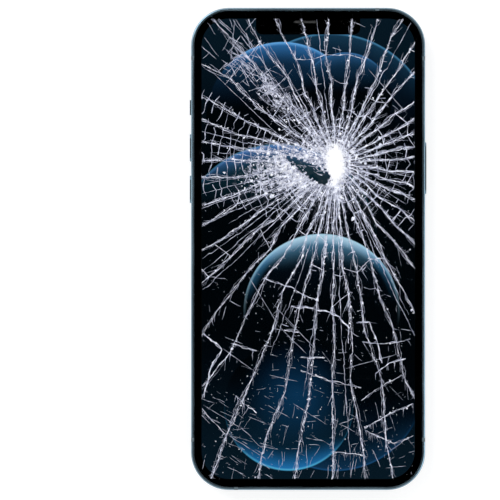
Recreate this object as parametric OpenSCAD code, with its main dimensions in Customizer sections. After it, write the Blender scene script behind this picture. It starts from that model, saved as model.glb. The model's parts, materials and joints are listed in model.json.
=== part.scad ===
// A large smartphone with a shattered front glass, lying on its back.
// X runs across the phone, Y from its bottom edge to its top edge, and Z out of the screen.
// The origin is under the middle of the phone, level with the lens trims that it rests on.

/* [Body] */
// Width across the steel band
body_w = 78.1; // [65:0.1:94]
// Length of the steel band
body_h = 160.8; // [134:0.1:193]
// Thickness from the rear glass to the cover glass
body_t = 7.4; // [7.2:0.1:9]
// Corner radius of the band seen from the front
corner_r = 12.6; // [10.5:0.1:15.1]
// Rounding of the band's outer edges
edge_r = 0.45; // [0.2:0.05:0.6]
// Width of the steel lip around each glass
lip_w = 0.95; // [0.8:0.05:1.2]
// Thickness of the band's wall below the lips
wall_t = 2.6; // [2.2:0.1:3.2]
// Thickness of the mid plate inside the band
mid_t = 0.4; // [0.3:0.05:0.5]
// Depth of the lips' edges below each glass
lip_drop = 0.1; // [0:0.05:0.2]
// Width of each antenna break
break_w = 1.3; // [1:0.1:1.6]
// Distance of the side antenna breaks from the ends
side_break_end = 16.8; // [15.2:0.1:20]
// Distance of the top antenna break from the right side
top_break_side = 16; // [15.2:0.1:20]
// Distance of the bottom antenna break from the left side
bottom_break_side = 15; // [14.5:0.1:16]

/* [Screen] */
// Thickness of the cover glass
front_glass_t = 0.7; // [0.5:0.05:0.9]
// Thickness of the rear glass
rear_glass_t = 0.7; // [0.5:0.05:0.9]
// Gap between each glass and its lip
glass_gap = 0.1; // [0.05:0.01:0.15]
// Black border beside the picture
border_side = 3.5; // [3.2:0.1:4.5]
// Black border above the picture
border_top = 3.6; // [3.2:0.1:4.5]
// Black border below the picture
border_bottom = 3.7; // [3.2:0.1:4.5]
// Thickness of the display panel
panel_t = 0.8; // [0.6:0.05:1]
// Thickness of the steel sheet behind the panel
shield_t = 0.2; // [0.1:0.05:0.3]
// Thickness of the gasket under the bezel
gasket_t = 0.2; // [0.1:0.05:0.3]
// Width of the notch
notch_w = 34.8; // [30:0.1:40]
// Depth of the notch below the picture's top edge
notch_h = 5.3; // [4.8:0.1:6]
// Rounding of the notch's lower corners
notch_r = 2.2; // [1:0.1:2.4]
// Length of the earpiece slot
earpiece_l = 8; // [6:0.1:9]
// Height of the earpiece slot
earpiece_h = 0.8; // [0.6:0.05:1]
// Radius of the front camera's lens
front_lens_r = 1.5; // [1:0.1:1.6]

/* [Cracks] */
// Distance of the impact to the right of the middle
impact_x = 9; // [-12:0.5:12]
// Distance of the impact above the middle
impact_y = 28.5; // [-20:0.5:35]
// Width of the gap between two shards
crack_w = 0.06; // [0.04:0.01:0.1]
// Radius of the crushed middle
core_r = 4.6; // [3.5:0.1:6]
// Share of the ring cracks that broke through
ring_share = 0.68; // [0.4:0.01:1]
// Width of the strip of shards that fell out
chip_w = 4; // [2:0.1:6]
// Seed of the crack pattern
crack_seed = 37; // [1:1:99]

/* [Camera plateau] */
// Width of the plateau
plateau_w = 31.9; // [31.5:0.1:34]
// Length of the plateau
plateau_l = 34.5; // [34:0.1:38]
// Height of the plateau above the rear glass
plateau_rise = 1.3; // [0.9:0.1:1.8]
// Corner radius of the plateau
plateau_r = 8.2; // [6:0.1:9]
// Distance of the plateau from the right side
plateau_side = 5; // [4:0.1:6]
// Distance of the plateau from the top edge
plateau_top = 4.8; // [4:0.1:6]
// Height of the lens trims above the plateau
trim_rise = 1.3; // [1:0.1:1.6]
// Outer radius of the lens trims
trim_r = 6.85; // [5.7:0.05:7.2]
// Width of the lens trims' metal ring
trim_w = 1.2; // [0.9:0.05:1.4]
// Radius of the flash lens
flash_r = 3.2; // [2.5:0.1:3.4]
// Radius of the depth sensor's window
depth_r = 3; // [2.5:0.1:3.2]
// Radius of the rear microphone's hole
mic_hole_r = 0.25; // [0.2:0.05:0.4]

/* [Side buttons] */
// Height of the side buttons
button_h = 2.9; // [2.4:0.1:3.1]
// Height of the buttons above the band
button_rise = 0.45; // [0.35:0.05:0.6]
// Travel of the buttons
button_travel = 0.3; // [0.2:0.05:0.35]
// Clearance around the buttons, the switch lever and the tray
fit = 0.12; // [0.08:0.01:0.15]
// Length of the power button
power_l = 17.3; // [14.4:0.1:20.8]
// Distance of the power button's middle from the top edge
power_top = 53.4; // [50:0.1:60]
// Length of each volume button
volume_l = 9.2; // [7.6:0.1:11.1]
// Distance of the upper volume button's middle from the top edge
volume_up_top = 46.6; // [45:0.1:48]
// Distance of the lower volume button's middle from the top edge
volume_down_top = 60.5; // [60:0.1:62]
// Length of the mute switch's lever
mute_l = 5; // [4.2:0.1:6]
// Height of the mute switch's lever
mute_h = 1.9; // [1.5:0.1:2]
// Travel of the mute switch's lever
mute_travel = 1.2; // [0.8:0.1:1.3]
// Distance of the mute switch's middle from the top edge
mute_top = 33.2; // [31:0.1:35]

/* [Tray] */
// Length of the card tray's outer face
tray_face_l = 16; // [15.2:0.1:19]
// Height of the card tray's outer face
tray_face_h = 2.6; // [2.2:0.1:3]
// Width of the card tray
tray_w = 11.2; // [10.4:0.1:12]
// Thickness of the card tray
tray_t = 1.3; // [1.1:0.05:1.5]
// Reach of the card tray into the phone
tray_reach = 19.5; // [17:0.1:20]
// Distance of the tray's middle from the top edge
tray_top = 84; // [82:0.1:86]
// Length of the card's pocket
card_l = 12.4; // [12.4:0.1:13]
// Width of the card's pocket
card_w = 8.9; // [8.9:0.1:9.4]

/* [Bottom edge] */
// Width of the charging socket
socket_w = 8.6; // [7.2:0.1:9]
// Height of the charging socket
socket_h = 2.8; // [2.4:0.1:3]
// Depth of the charging socket from the bottom edge
socket_depth = 7.5; // [6:0.1:8]
// Radius of the sound holes
sound_hole_r = 0.8; // [0.5:0.05:0.9]
// Distance between neighbouring sound holes
sound_hole_pitch = 2.4; // [2:0.1:2.5]
// Distance of the first sound holes from the middle
sound_hole_start = 12; // [11.5:0.1:12.5]
// Distance of the bottom screws from the middle
bottom_screw_x = 8.2; // [7.8:0.1:8.4]
// Length of the bottom end that the haptic motor and the loudspeaker take up
bottom_parts_end = 21.4; // [21:0.1:24]

/* [Inside] */
// Width of the logic board
board_w = 20; // [17:0.1:22]
// Thickness of the logic board
board_t = 0.8; // [0.6:0.05:1]
// Free space between the battery and the display
battery_gap = 0.6; // [0.4:0.05:1]
// Free space along each side, behind the buttons
side_channel = 2; // [1.9:0.05:2.4]
// Outer radius of the ring of magnets
magnet_r = 28; // [24:0.1:29]
// Outer radius of the charging coil
coil_r = 21.5; // [18:0.1:22]
// Radius of the coil's open middle
coil_hole_r = 9; // [6:0.1:12]

/* [Hidden] */
$fn = 72;

steel = [0.43, 0.5, 0.55];
dark_steel = [0.3, 0.34, 0.37];
black = [0.03, 0.03, 0.035];
copper = [0.72, 0.45, 0.25];

// Heights, from the surface that the lens trims rest on
z_rear = plateau_rise + trim_rise;
z_front = z_rear + body_t;
z_middle = (z_rear + z_front) / 2;
z_plateau = z_rear - plateau_rise;
z_plate = z_rear + rear_glass_t;
z_floor = z_plate + mid_t;
z_glass = z_front - front_glass_t;
bezel_t = panel_t + shield_t;
z_ceiling = z_glass - bezel_t;
z_shelf = z_ceiling - gasket_t;

// Outlines, as distances in from the band's outer face
glass_inset = lip_w + glass_gap;
bezel_inset = glass_inset + 0.1;
cavity_w = body_w - 2 * wall_t;
cavity_h = body_h - 2 * wall_t;
cavity_r = corner_r - wall_t;
weld = 0.5;
round_r = min(edge_r, lip_w / 2 - 0.02);
past = 1;

function from_right(x) = body_w / 2 - x;
function from_left(x) = x - body_w / 2;
function from_top(y) = body_h / 2 - y;
function from_bottom(y) = y - body_h / 2;

// The picture's area, whose corners follow the band's
screen_w = body_w - 2 * border_side;
screen_h = body_h - border_top - border_bottom;
screen_y = (border_bottom - border_top) / 2;
screen_r = corner_r - border_side;
screen_gap = 0.08;

module rounded(w, h, r) {
    square([w - 2 * r, h], center = true);
    square([w, h - 2 * r], center = true);
    for (sx = [-1, 1], sy = [-1, 1])
        translate([sx * (w / 2 - r), sy * (h / 2 - r)]) circle(r = r);
}

// A rounded rectangle that lies a given distance inside the band's outer face
module outline(inset) {
    rounded(body_w - 2 * inset, body_h - 2 * inset, corner_r - inset);
}

module stadium(l, h) {
    square([l - h, h], center = true);
    for (s = [-1, 1]) translate([s * (l - h) / 2, 0]) circle(r = h / 2);
}

// Sweeps a section around a rounded rectangle: its X is the distance in from the outline
module ring(w, h, r) {
    for (turn = [0:3]) {
        across = turn % 2 == 0 ? w / 2 : h / 2;
        along = turn % 2 == 0 ? h - 2 * r : w - 2 * r;
        rotate(90 * turn) {
            translate([across, along / 2, 0])
                rotate([90, 0, 0]) linear_extrude(along) mirror([1, 0]) children();
            translate([across - r, along / 2, 0])
                rotate_extrude(angle = 90) translate([r, 0]) mirror([1, 0]) children();
        }
    }
}

// Puts a shape on the left (-1) or right (1) side: its Z is the depth below the band's face
module on_side(side, y) {
    translate([side * body_w / 2, y, z_middle]) rotate([90, 0, -90 * side]) children();
}

// The same on the bottom edge
module on_bottom(x) {
    translate([x, -body_h / 2, z_middle]) rotate([90, 0, 180]) children();
}

module layer(z, t) {
    translate([0, 0, z]) linear_extrude(t) children();
}

module block(size, at) {
    translate(at) cube(size);
}

// ---- Cover glass: shards between radial cracks and ring cracks ----

// Bearings of the radial cracks, in degrees anticlockwise from the right
bearings = [
    4, 12, 21, 30, 39, 49, 57, 65, 74, 83, 93, 103, 112, 121, 131, 143, 154, 162, 170, 178,
    187, 196, 204, 213, 222, 231, 240, 249, 257, 263, 269, 275, 281, 289, 298, 306, 315,
    324, 334, 343, 353
];
// Radii of the ring cracks as steps out from the crushed middle, the last past every corner
ring_steps = [0, 3.4, 8, 14, 21.5, 30.5, 41.5, 55, 71, 90, 150];
rings = [for (s = ring_steps) core_r + s];
sectors = len(bearings);
ring_count = len(rings);
turns = rands(-1, 1, sectors * ring_count, crack_seed);
reaches = rands(-1, 1, sectors * ring_count, crack_seed + 1);
chances = rands(0, 1, sectors * ring_count, crack_seed + 2);
turn_share = 0.2;
reach_share = 0.24;
chip_start = [-6, 30];
chip_end = [5, 23.6];

function bearing(i) = bearings[i % sectors] + 360 * floor(i / sectors);
function spread(i) =
    turn_share * min(bearing(i + 1) - bearing(i), bearing(i + sectors) - bearing(i + sectors - 1));
function at_edge(j) = j == 0 || j == ring_count - 1;
function knot_turn(i, j) =
    let (turn = turns[(i % sectors) * ring_count + j] * spread(i))
    bearing(i) + (at_edge(j) ? 0 : turn);
function knot_reach(i, j) =
    let (step = rings[j] - rings[j - 1], reach = reaches[(i % sectors) * ring_count + j])
    rings[j] + (at_edge(j) ? 0 : reach * reach_share * step);
// Where crack i meets ring j, moved to one side of the crack and in or out by half a gap
function knot(i, j, side, out) =
    let (a = knot_turn(i, j), r = knot_reach(i, j) + out * crack_w / 2)
    [
        impact_x + r * cos(a) - side * sin(a) * crack_w / 2,
        impact_y + r * sin(a) + side * cos(a) * crack_w / 2
    ];
function way(j, a, b) = j == a ? 1 : (j == b ? -1 : 0);
function shard(i, a, b) = concat(
    [for (j = [a:b]) knot(i, j, 1, way(j, a, b))],
    [for (j = [b:-1:a]) knot(i + 1, j, -1, way(j, a, b))]
);
function broken_rings(i) = [
    for (j = [0:ring_count - 1])
        if (at_edge(j) || chances[i * ring_count + j] < ring_share) j
];
function middle_of(points) = [for (axis = [0, 1]) sum([for (p = points) p[axis]]) / len(points)];
function sum(values, n = 0) = n == len(values) ? 0 : values[n] + sum(values, n + 1);
// Distance of a point from the line along which the shards fell out
function off_chip(p) =
    let (d = chip_end - chip_start, t = (p - chip_start) * d / (d * d), c = max(0, min(1, t)))
    norm(p - chip_start - c * d);
function fell_out(points) = off_chip(middle_of(points)) < chip_w / 2;

// The crushed middle is broken into fewer, blunter pieces
core_pieces = 9;
core_rings = [0.35, 0.5 * core_r, core_r - 0.2];
function core_shard(i, j) =
    let (
        a = 360 * (i + 0.4 * j) / core_pieces,
        b = 360 * (i + 1 + 0.4 * j) / core_pieces,
        g = crack_w,
        near = core_rings[j],
        far = core_rings[j + 1] - g
    )
    [for (p = [[near, a], [far, a], [far, b], [near, b]])
        [
            impact_x + p[0] * cos(p[1]) - (p[1] == a ? g : -g) / 2 * sin(p[1]),
            impact_y + p[0] * sin(p[1]) + (p[1] == a ? g : -g) / 2 * cos(p[1])
        ]];

module shards() {
    for (i = [0:sectors - 1]) {
        broken = broken_rings(i);
        for (k = [0:len(broken) - 2]) {
            points = shard(i, broken[k], broken[k + 1]);
            if (!fell_out(points)) polygon(points);
        }
    }
    for (i = [0:core_pieces - 1], j = [0, 1]) polygon(core_shard(i, j));
}

module cover_glass() {
    color([0.75, 0.82, 0.88, 0.5]) layer(z_glass, front_glass_t) difference() {
        intersection() {
            outline(glass_inset);
            shards();
        }
        earpiece_place() stadium(earpiece_l, earpiece_h);
    }
}

// ---- Display ----

module screen_shape(grow) {
    translate([0, screen_y]) difference() {
        rounded(screen_w + 2 * grow, screen_h + 2 * grow, screen_r + grow);
        translate([0, screen_h / 2 + grow])
            rounded(notch_w - 2 * grow, 2 * notch_h, notch_r);
    }
}

module display_panel() {
    color([0.05, 0.12, 0.2]) layer(z_glass - panel_t, panel_t) screen_shape(0);
}

module display_shield() {
    color(dark_steel) layer(z_ceiling, shield_t) screen_shape(0);
}

module display_bezel() {
    color(black) layer(z_ceiling, bezel_t) difference() {
        outline(bezel_inset);
        screen_shape(screen_gap);
        earpiece_place() stadium(earpiece_l, earpiece_h);
        front_camera_place() circle(r = front_lens_r + fit);
        face_sensor_places() circle(r = face_lens_r + fit);
    }
}

module display_gasket() {
    color(black) layer(z_shelf, gasket_t) difference() {
        outline(bezel_inset);
        outline(wall_t);
    }
}

cable_t = 0.15;
cable_w = 4.6;
cable_reach = 6;
cable_board_inset = 3.6;

// A ribbon from the back of the display down to the board
module display_cable(y) {
    x = board_right - cable_board_inset;
    block([cable_reach, cable_w, cable_t], [x - cable_reach, y, z_ceiling - cable_t]);
    block([cable_t, cable_w, z_ceiling - z_board_top], [x - cable_t, y, z_board_top]);
    block([cable_board_inset, cable_w, cable_t], [x - cable_t, y, z_board_top]);
}

module display_cables() {
    color([0.35, 0.2, 0.08]) for (y = cable_places) display_cable(y);
}

// ---- Notch ----

earpiece_at = [-0.8, 4.7];
front_camera_at = [5.8, 5.1];
front_camera_size = [5.8, 4.8, 3];
face_sensor_at = [[-15.6, 5.1], [12.4, 5.1]];
face_sensor_size = [5.4, 4.8, 2.4];
face_lens_r = 1.2;
earpiece_body = [14.6, 5, 2.6];
earpiece_mesh_t = 0.5;
mesh_drop = 0.35;
lens_drop = 0.1;

module earpiece_place() {
    translate([earpiece_at[0], from_top(earpiece_at[1])]) children();
}

module front_camera_place() {
    translate([front_camera_at[0], from_top(front_camera_at[1])]) children();
}

module face_sensor_places() {
    for (p = face_sensor_at) translate([p[0], from_top(p[1])]) children();
}

// A box that hangs under the bezel, with a lens barrel up through it
module hanging_camera(size, lens_r) {
    translate([0, 0, z_ceiling - size[2] / 2]) cube(size, center = true);
    layer(z_ceiling, bezel_t - lens_drop) circle(r = lens_r);
}

module front_camera() {
    color([0.06, 0.07, 0.1]) front_camera_place() hanging_camera(front_camera_size, front_lens_r);
}

module face_sensors() {
    color([0.1, 0.1, 0.12]) face_sensor_places() hanging_camera(face_sensor_size, face_lens_r);
}

module earpiece_mesh() {
    color([0.16, 0.17, 0.18]) earpiece_place()
        layer(z_front - mesh_drop - earpiece_mesh_t, earpiece_mesh_t) stadium(earpiece_l, earpiece_h);
}

module earpiece_speaker() {
    right_end = front_camera_at[0] - front_camera_size[0] / 2 - 0.3;
    color([0.12, 0.12, 0.13]) block(
        earpiece_body,
        [
            right_end - earpiece_body[0],
            from_top(front_camera_at[1]) - earpiece_body[1] / 2,
            z_ceiling - earpiece_body[2]
        ]
    );
}

// ---- Band and mid plate ----

module band_section() {
    low = z_rear + lip_drop;
    high = z_front - lip_drop;
    polygon([
        [round_r, low], [lip_w, low], [lip_w, z_plate], [wall_t, z_plate], [wall_t, z_shelf],
        [lip_w, z_shelf], [lip_w, high], [round_r, high], [0, high - round_r], [0, low + round_r]
    ]);
    for (z = [low + round_r, high - round_r]) translate([round_r, z]) circle(r = round_r);
}

// Blocks that cross the wall where plastic breaks the steel
module antenna_breaks() {
    deep = wall_t + past;
    tall = body_t + 2 * past;
    mid = body_t / 2 + z_rear;
    for (sx = [-1, 1], sy = [-1, 1])
        translate([sx * (cavity_w + deep) / 2, sy * from_top(side_break_end), mid])
            cube([deep, break_w, tall], center = true);
    translate([from_right(top_break_side), (cavity_h + deep) / 2, mid])
        cube([break_w, deep, tall], center = true);
    translate([from_left(bottom_break_side), -(cavity_h + deep) / 2, mid])
        cube([break_w, deep, tall], center = true);
}

boss_r = 1.1;
screw_hole_r = 0.55;
board_lift = 0.4;
bracket_t = 0.3;
bracket_gap = 0.5;
z_bracket = z_ceiling - bracket_gap - bracket_t;
z_board = z_floor + board_lift;
z_board_top = z_board + board_t;
plate_gap = 0.1;

module mid_plate() {
    layer(z_plate, mid_t) difference() {
        rounded(cavity_w + 2 * weld, cavity_h + 2 * weld, cavity_r + weld);
        circle(r = magnet_r + plate_gap);
        for (p = lens_at) place(p) circle(r = flange_r + plate_gap);
        place(flash_at) square(flash_size[0] + 2 * plate_gap, center = true);
        place(depth_at) square(depth_size[0] + 2 * plate_gap, center = true);
        place(mic_at) square([mic_size[0] + 2 * plate_gap, mic_size[1] + 2 * plate_gap], center = true);
    }
}

module boss(p, top) {
    translate([p[0], p[1], z_plate]) cylinder(r = boss_r, h = top - z_plate);
}

module bosses() {
    for (p = board_screws) boss(p, z_board);
    for (p = bracket_screws) boss(p, z_bracket);
}

module screw_bores() {
    for (p = screw_seats)
        translate(p - [0, 0, screw_length]) cylinder(r = screw_hole_r, h = screw_length + past);
}

module side_frame() {
    color(steel) difference() {
        union() {
            ring(body_w, body_h, corner_r) band_section();
            mid_plate();
            bosses();
        }
        antenna_breaks();
        screw_bores();
        on_side(1, from_top(power_top)) button_pocket(power_l);
        on_side(-1, from_top(volume_up_top)) button_pocket(volume_l);
        on_side(-1, from_top(volume_down_top)) button_pocket(volume_l);
        on_side(-1, from_top(mute_top)) mute_pocket();
        on_side(-1, from_top(tray_top)) tray_slot();
        bottom_holes();
    }
}

module antenna_bands() {
    color([0.22, 0.28, 0.31]) intersection() {
        ring(body_w, body_h, corner_r) band_section();
        antenna_breaks();
    }
}

// ---- Rear glass and cameras ----

// Places on the rear as distances from the right side and from the top edge
lens_at = [[13.5, 13.5], [13.3, 31], [28.5, 22.4]];
flash_at = [28.5, 10.3];
depth_at = [28.5, 34.3];
mic_at = [33.9, 31.2];
bracket_screws = [for (p = [[4.9, 22.3], [37.4, 22.4]]) [from_right(p[0]), from_top(p[1])]];
bracket_tab = 1.3;
flange_r = trim_r + 0.5;
seat = 0.05;
window_drop = 0.05;
cover_t = 0.6;
cover_drop = 0.3;
cover_r = trim_r - trim_w;
step_w = 0.45;
barrel_gap = 0.25;
camera_w = 13;
flash_size = [6, 6, 1.5];
depth_size = [6.4, 6.4, 3];
mic_size = [2.4, 3, 1];
plateau_round = 0.45;
plateau_foot = 0.5;

module place(p) {
    translate([from_right(p[0]), from_top(p[1])]) children();
}

// The plateau's edge, rounded outside and flared where it leaves the rear glass
module plateau_edge() {
    translate([plateau_round, z_plateau + plateau_round]) circle(r = plateau_round);
    translate([0, z_plateau + plateau_round])
        square([2 * plateau_round, plateau_rise - plateau_round]);
    difference() {
        translate([-plateau_foot, z_rear - plateau_foot]) square(plateau_foot);
        translate([-plateau_foot, z_rear - plateau_foot]) circle(r = plateau_foot);
    }
}

module back_glass() {
    color([0.2, 0.33, 0.4]) difference() {
        union() {
            layer(z_rear, rear_glass_t) outline(glass_inset);
            place([plateau_side + plateau_w / 2, plateau_top + plateau_l / 2]) {
                ring(plateau_w, plateau_l, plateau_r) plateau_edge();
                layer(z_plateau, plateau_rise) rounded(
                    plateau_w - 2 * plateau_round,
                    plateau_l - 2 * plateau_round,
                    plateau_r - plateau_round
                );
            }
        }
        for (p = lens_at) place(p) rear_hole(trim_r + seat);
        place(flash_at) rear_hole(flash_r + seat);
        place(depth_at) rear_hole(depth_r + seat);
        place(mic_at) rear_hole(mic_hole_r);
    }
}

module rear_hole(r) {
    translate([0, 0, z_plateau - past]) cylinder(r = r, h = plateau_rise + rear_glass_t + 2 * past);
}

// A metal ring through the glass, with a flange inside and a step that the cover sits on
module lens_trim(p) {
    step_r = cover_r + seat - step_w;
    seat_z = cover_drop + cover_t;
    color([0.5, 0.62, 0.7]) place(p) rotate_extrude() polygon([
        [cover_r + seat, 0], [trim_r - 0.2, 0], [trim_r, 0.2], [trim_r, z_plate],
        [flange_r, z_plate], [flange_r, z_floor], [step_r, z_floor],
        [step_r, seat_z], [cover_r + seat, seat_z]
    ]);
}

module lens_cover(p) {
    color([0.03, 0.04, 0.06, 0.6]) place(p) layer(cover_drop, cover_t) circle(r = cover_r);
}

// A square can on the trim's flange, with its lens barrel down inside the trim
module camera(p) {
    barrel_low = cover_drop + cover_t + barrel_gap;
    color([0.08, 0.09, 0.11]) place(p) {
        layer(z_floor, z_bracket - z_floor) square(camera_w, center = true);
        layer(barrel_low, z_floor - barrel_low) circle(r = cover_r - step_w - barrel_gap);
    }
}

// A sheet over the three cameras, held by two screws
module camera_bracket() {
    color(dark_steel) layer(z_bracket, bracket_t) difference() {
        union() {
            place((lens_at[0] + lens_at[1]) / 2)
                square([camera_w, lens_at[1][1] - lens_at[0][1] + camera_w], center = true);
            place(lens_at[2]) square(camera_w, center = true);
            bracket_strip();
        }
        for (p = bracket_screws) translate(p) circle(r = screw_hole_r);
    }
}

// Joins the two screws across the middle camera
module bracket_strip() {
    low = bracket_screws[1] - [bracket_tab, bracket_tab];
    high = bracket_screws[0] + [bracket_tab, bracket_tab];
    translate(low) square(high - low);
}

module rear_window(p, r) {
    place(p) layer(z_plateau + window_drop, z_plate - z_plateau - window_drop) circle(r = r);
}

module flash_lens() {
    color([0.93, 0.87, 0.72]) rear_window(flash_at, flash_r);
}

module depth_sensor_window() {
    color([0.14, 0.12, 0.12]) rear_window(depth_at, depth_r);
}

module behind_glass(p, size) {
    place(p) translate([-size[0] / 2, -size[1] / 2, z_plate]) cube(size);
}

module flash_module() {
    color([0.85, 0.75, 0.35]) behind_glass(flash_at, flash_size);
}

module depth_sensor() {
    color([0.12, 0.13, 0.14]) behind_glass(depth_at, depth_size);
}

module rear_microphone() {
    color([0.7, 0.62, 0.4]) difference() {
        behind_glass(mic_at, mic_size);
        place(mic_at) layer(z_plate - past, past + mic_size[2] / 2) circle(r = mic_hole_r);
    }
}

// ---- Wireless charging ----

magnet_count = 16;
magnet_w = 4.6;
magnet_turn = 360 / magnet_count;
magnet_spacing = 1.5;
coil_t = mid_t / 2;

module magnet_ring() {
    color([0.6, 0.6, 0.62]) for (i = [0:magnet_count - 1])
        rotate(i * magnet_turn + magnet_spacing / 2) translate([0, 0, z_plate])
            rotate_extrude(angle = magnet_turn - magnet_spacing)
                translate([magnet_r - magnet_w, 0]) square([magnet_w, mid_t]);
}

module charging_coil() {
    color(copper) layer(z_plate, coil_t) difference() {
        circle(r = coil_r);
        circle(r = coil_hole_r);
    }
}

module coil_shield() {
    color([0.2, 0.2, 0.22]) layer(z_plate + coil_t, mid_t - coil_t) circle(r = coil_r + 0.5);
}

// ---- Battery and logic board ----

board_top_end = 14;
board_bottom_end = 96.4;
board_left = -cavity_w / 2 + side_channel;
board_right = board_left + board_w;
board_high = from_top(board_top_end);
board_low = from_top(board_bottom_end);
screw_inset = 1.8;
mid_screw_inset = 5;
battery_clear = 0.8;
battery_r = 1.5;
battery_left = board_right + battery_clear;
battery_right = cavity_w / 2 - side_channel;
battery_low = from_bottom(bottom_parts_end) + 2;
battery_high = from_top(plateau_top + plateau_l) - 1;
battery_lap = 4;

module rounded_between(low, high, r) {
    translate((low + high) / 2) rounded(high[0] - low[0], high[1] - low[1], r);
}

module battery() {
    color([0.07, 0.07, 0.08]) layer(z_floor, z_ceiling - battery_gap - z_floor) {
        rounded_between([battery_left, battery_low], [battery_right, battery_high], battery_r);
        rounded_between(
            [board_left, battery_low],
            [battery_left + battery_lap, board_low - battery_clear],
            battery_r
        );
    }
}

module logic_board() {
    color([0.07, 0.16, 0.12]) layer(z_board, board_t) difference() {
        translate([board_left, board_low]) square([board_w, board_high - board_low]);
        for (p = board_screws) translate(p) circle(r = screw_hole_r);
    }
}

can_wall = 0.2;
can_h = 1.8;
can_side = 1.2;
can_gap = 1.4;
chip_t = 1.1;
chip_side = 3;
chip_gap = 2.2;
// The tray lies off the middle of its face, to leave room for the pin hole
tray_shift = 1.9;
reader_wall = 0.25;
tray_y = from_top(tray_top);
reader_high = tray_y - tray_shift + tray_w / 2 + fit + reader_wall;
cable_places = [reader_high + 1.4, board_high - 30];
// Two screws at the left corners, one at the upper right and one between the cans
board_screws = [
    [board_left + screw_inset, board_low + screw_inset],
    [board_left + screw_inset, board_high - screw_inset],
    [board_right - screw_inset, board_high - screw_inset],
    [board_left + mid_screw_inset, cable_places[1] + cable_w / 2]
];
screw_seats = [
    for (p = board_screws) [p[0], p[1], z_board_top],
    for (p = bracket_screws) [p[0], p[1], z_bracket + bracket_t]
];
// Lengths of board that the two cans cover, between the cables and the upper screws
can_spans = [
    [cable_places[0] + cable_w + can_gap, cable_places[1] - can_gap],
    [cable_places[1] + cable_w + can_gap, board_high - screw_inset - boss_r - can_gap]
];

module board_shields() {
    color([0.62, 0.63, 0.65]) for (span = can_spans) difference() {
        can(span, 0, can_h);
        can(span, can_wall, can_h - can_wall);
    }
}

module can(span, inset, h) {
    block(
        [board_w - 2 * can_side - 2 * inset, span[1] - span[0] - 2 * inset, h + (inset > 0 ? past : 0)],
        [board_left + can_side + inset, span[0] + inset, z_board_top - (inset > 0 ? past : 0)]
    );
}

module board_chips() {
    color([0.05, 0.05, 0.06]) for (span = can_spans) block(
        [board_w - 2 * chip_side, span[1] - span[0] - 2 * chip_gap, chip_t],
        [board_left + chip_side, span[0] + chip_gap, z_board_top]
    );
}

screw_length = 1.6;
thread_l = 1.4;
screw_head_r = 1.05;
screw_head_t = 0.4;
thread_r = 0.5;

module housing_screw() {
    cylinder(r = screw_head_r, h = screw_head_t);
    translate([0, 0, -thread_l]) cylinder(r = thread_r, h = thread_l + screw_head_t);
}

module housing_screws() {
    color([0.7, 0.71, 0.73]) for (p = screw_seats) translate(p) housing_screw();
}

// ---- Bottom end ----

haptic_size = [23, 13];
haptic_at = [6, 8.4];
speaker_left = 9.8;
speaker_gap = 0.3;
mesh_t = 0.3;
mesh_h = 2.4;
mesh_lap = 0.3;
left_holes = 4;
right_holes = 6;
mic_body_t = 2.4;
port_wall = 1.4;
port_h = 3.8;
tongue = [5.6, 0.7, 4.4];
bottom_screw_l = 3.2;
bottom_head_r = 0.85;
bottom_head_t = 0.5;
bottom_drive_r = 0.4;
z_low_ceiling = z_ceiling - battery_gap;

function hole_run(count) = (count - 1) * sound_hole_pitch;

module bottom_holes() {
    on_bottom(0) translate([0, 0, -past]) linear_extrude(wall_t + 2 * past) stadium(socket_w, socket_h);
    for (i = [0:right_holes - 1]) sound_hole(sound_hole_start + i * sound_hole_pitch);
    for (i = [0:left_holes - 1]) sound_hole(-sound_hole_start - i * sound_hole_pitch);
    for (s = [-1, 1]) on_bottom(s * bottom_screw_x) {
        translate([0, 0, -past]) cylinder(r = bottom_head_r + seat, h = past + bottom_head_t + seat);
        cylinder(r = thread_r + seat, h = wall_t + past);
    }
}

module sound_hole(x) {
    on_bottom(x) translate([0, 0, -past]) cylinder(r = sound_hole_r, h = wall_t + 2 * past);
}

module bottom_screws() {
    color(dark_steel) for (s = [-1, 1]) on_bottom(s * bottom_screw_x) difference() {
        union() {
            translate([0, 0, seat]) cylinder(r = bottom_head_r, h = bottom_head_t);
            translate([0, 0, seat]) cylinder(r = thread_r, h = bottom_screw_l);
        }
        translate([0, 0, seat - past]) cylinder(r = bottom_drive_r, h = past + 0.3, $fn = 5);
    }
}

module haptic_motor() {
    color([0.5, 0.51, 0.53]) block(
        [haptic_size[0], haptic_size[1], z_low_ceiling - z_floor],
        [from_left(haptic_at[0]), from_bottom(haptic_at[1]), z_floor]
    );
}

module loudspeaker() {
    color([0.1, 0.1, 0.11]) layer(z_floor, z_low_ceiling - z_floor) intersection() {
        outline(wall_t + speaker_gap);
        translate([speaker_left, -body_h / 2]) square([body_w / 2, bottom_parts_end]);
    }
}

module hole_mesh(count, side) {
    mesh_l = hole_run(count) + 2 * (sound_hole_r + mesh_lap);
    on_bottom(side * (sound_hole_start + hole_run(count) / 2)) translate([0, 0, wall_t])
        linear_extrude(mesh_t) square([mesh_l, mesh_h], center = true);
}

module loudspeaker_mesh() {
    color([0.2, 0.2, 0.21]) hole_mesh(right_holes, 1);
}

module microphone_mesh() {
    color([0.2, 0.2, 0.21]) hole_mesh(left_holes, -1);
}

module bottom_microphone() {
    color([0.65, 0.58, 0.38])
        on_bottom(-sound_hole_start - hole_run(left_holes) / 2) translate([0, 0, wall_t + mesh_t])
            linear_extrude(mic_body_t) square([hole_run(left_holes) + 2, mesh_h], center = true);
}

module charge_port() {
    color([0.09, 0.09, 0.1]) on_bottom(0) {
        difference() {
            translate([0, 0, wall_t]) linear_extrude(socket_depth + port_wall - wall_t)
                square([socket_w + 2 * port_wall, port_h], center = true);
            linear_extrude(socket_depth) stadium(socket_w, socket_h);
        }
        translate([0, 0, socket_depth - tongue[2]]) linear_extrude(tongue[2] + 0.2)
            square([tongue[0], tongue[1]], center = true);
    }
}

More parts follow.
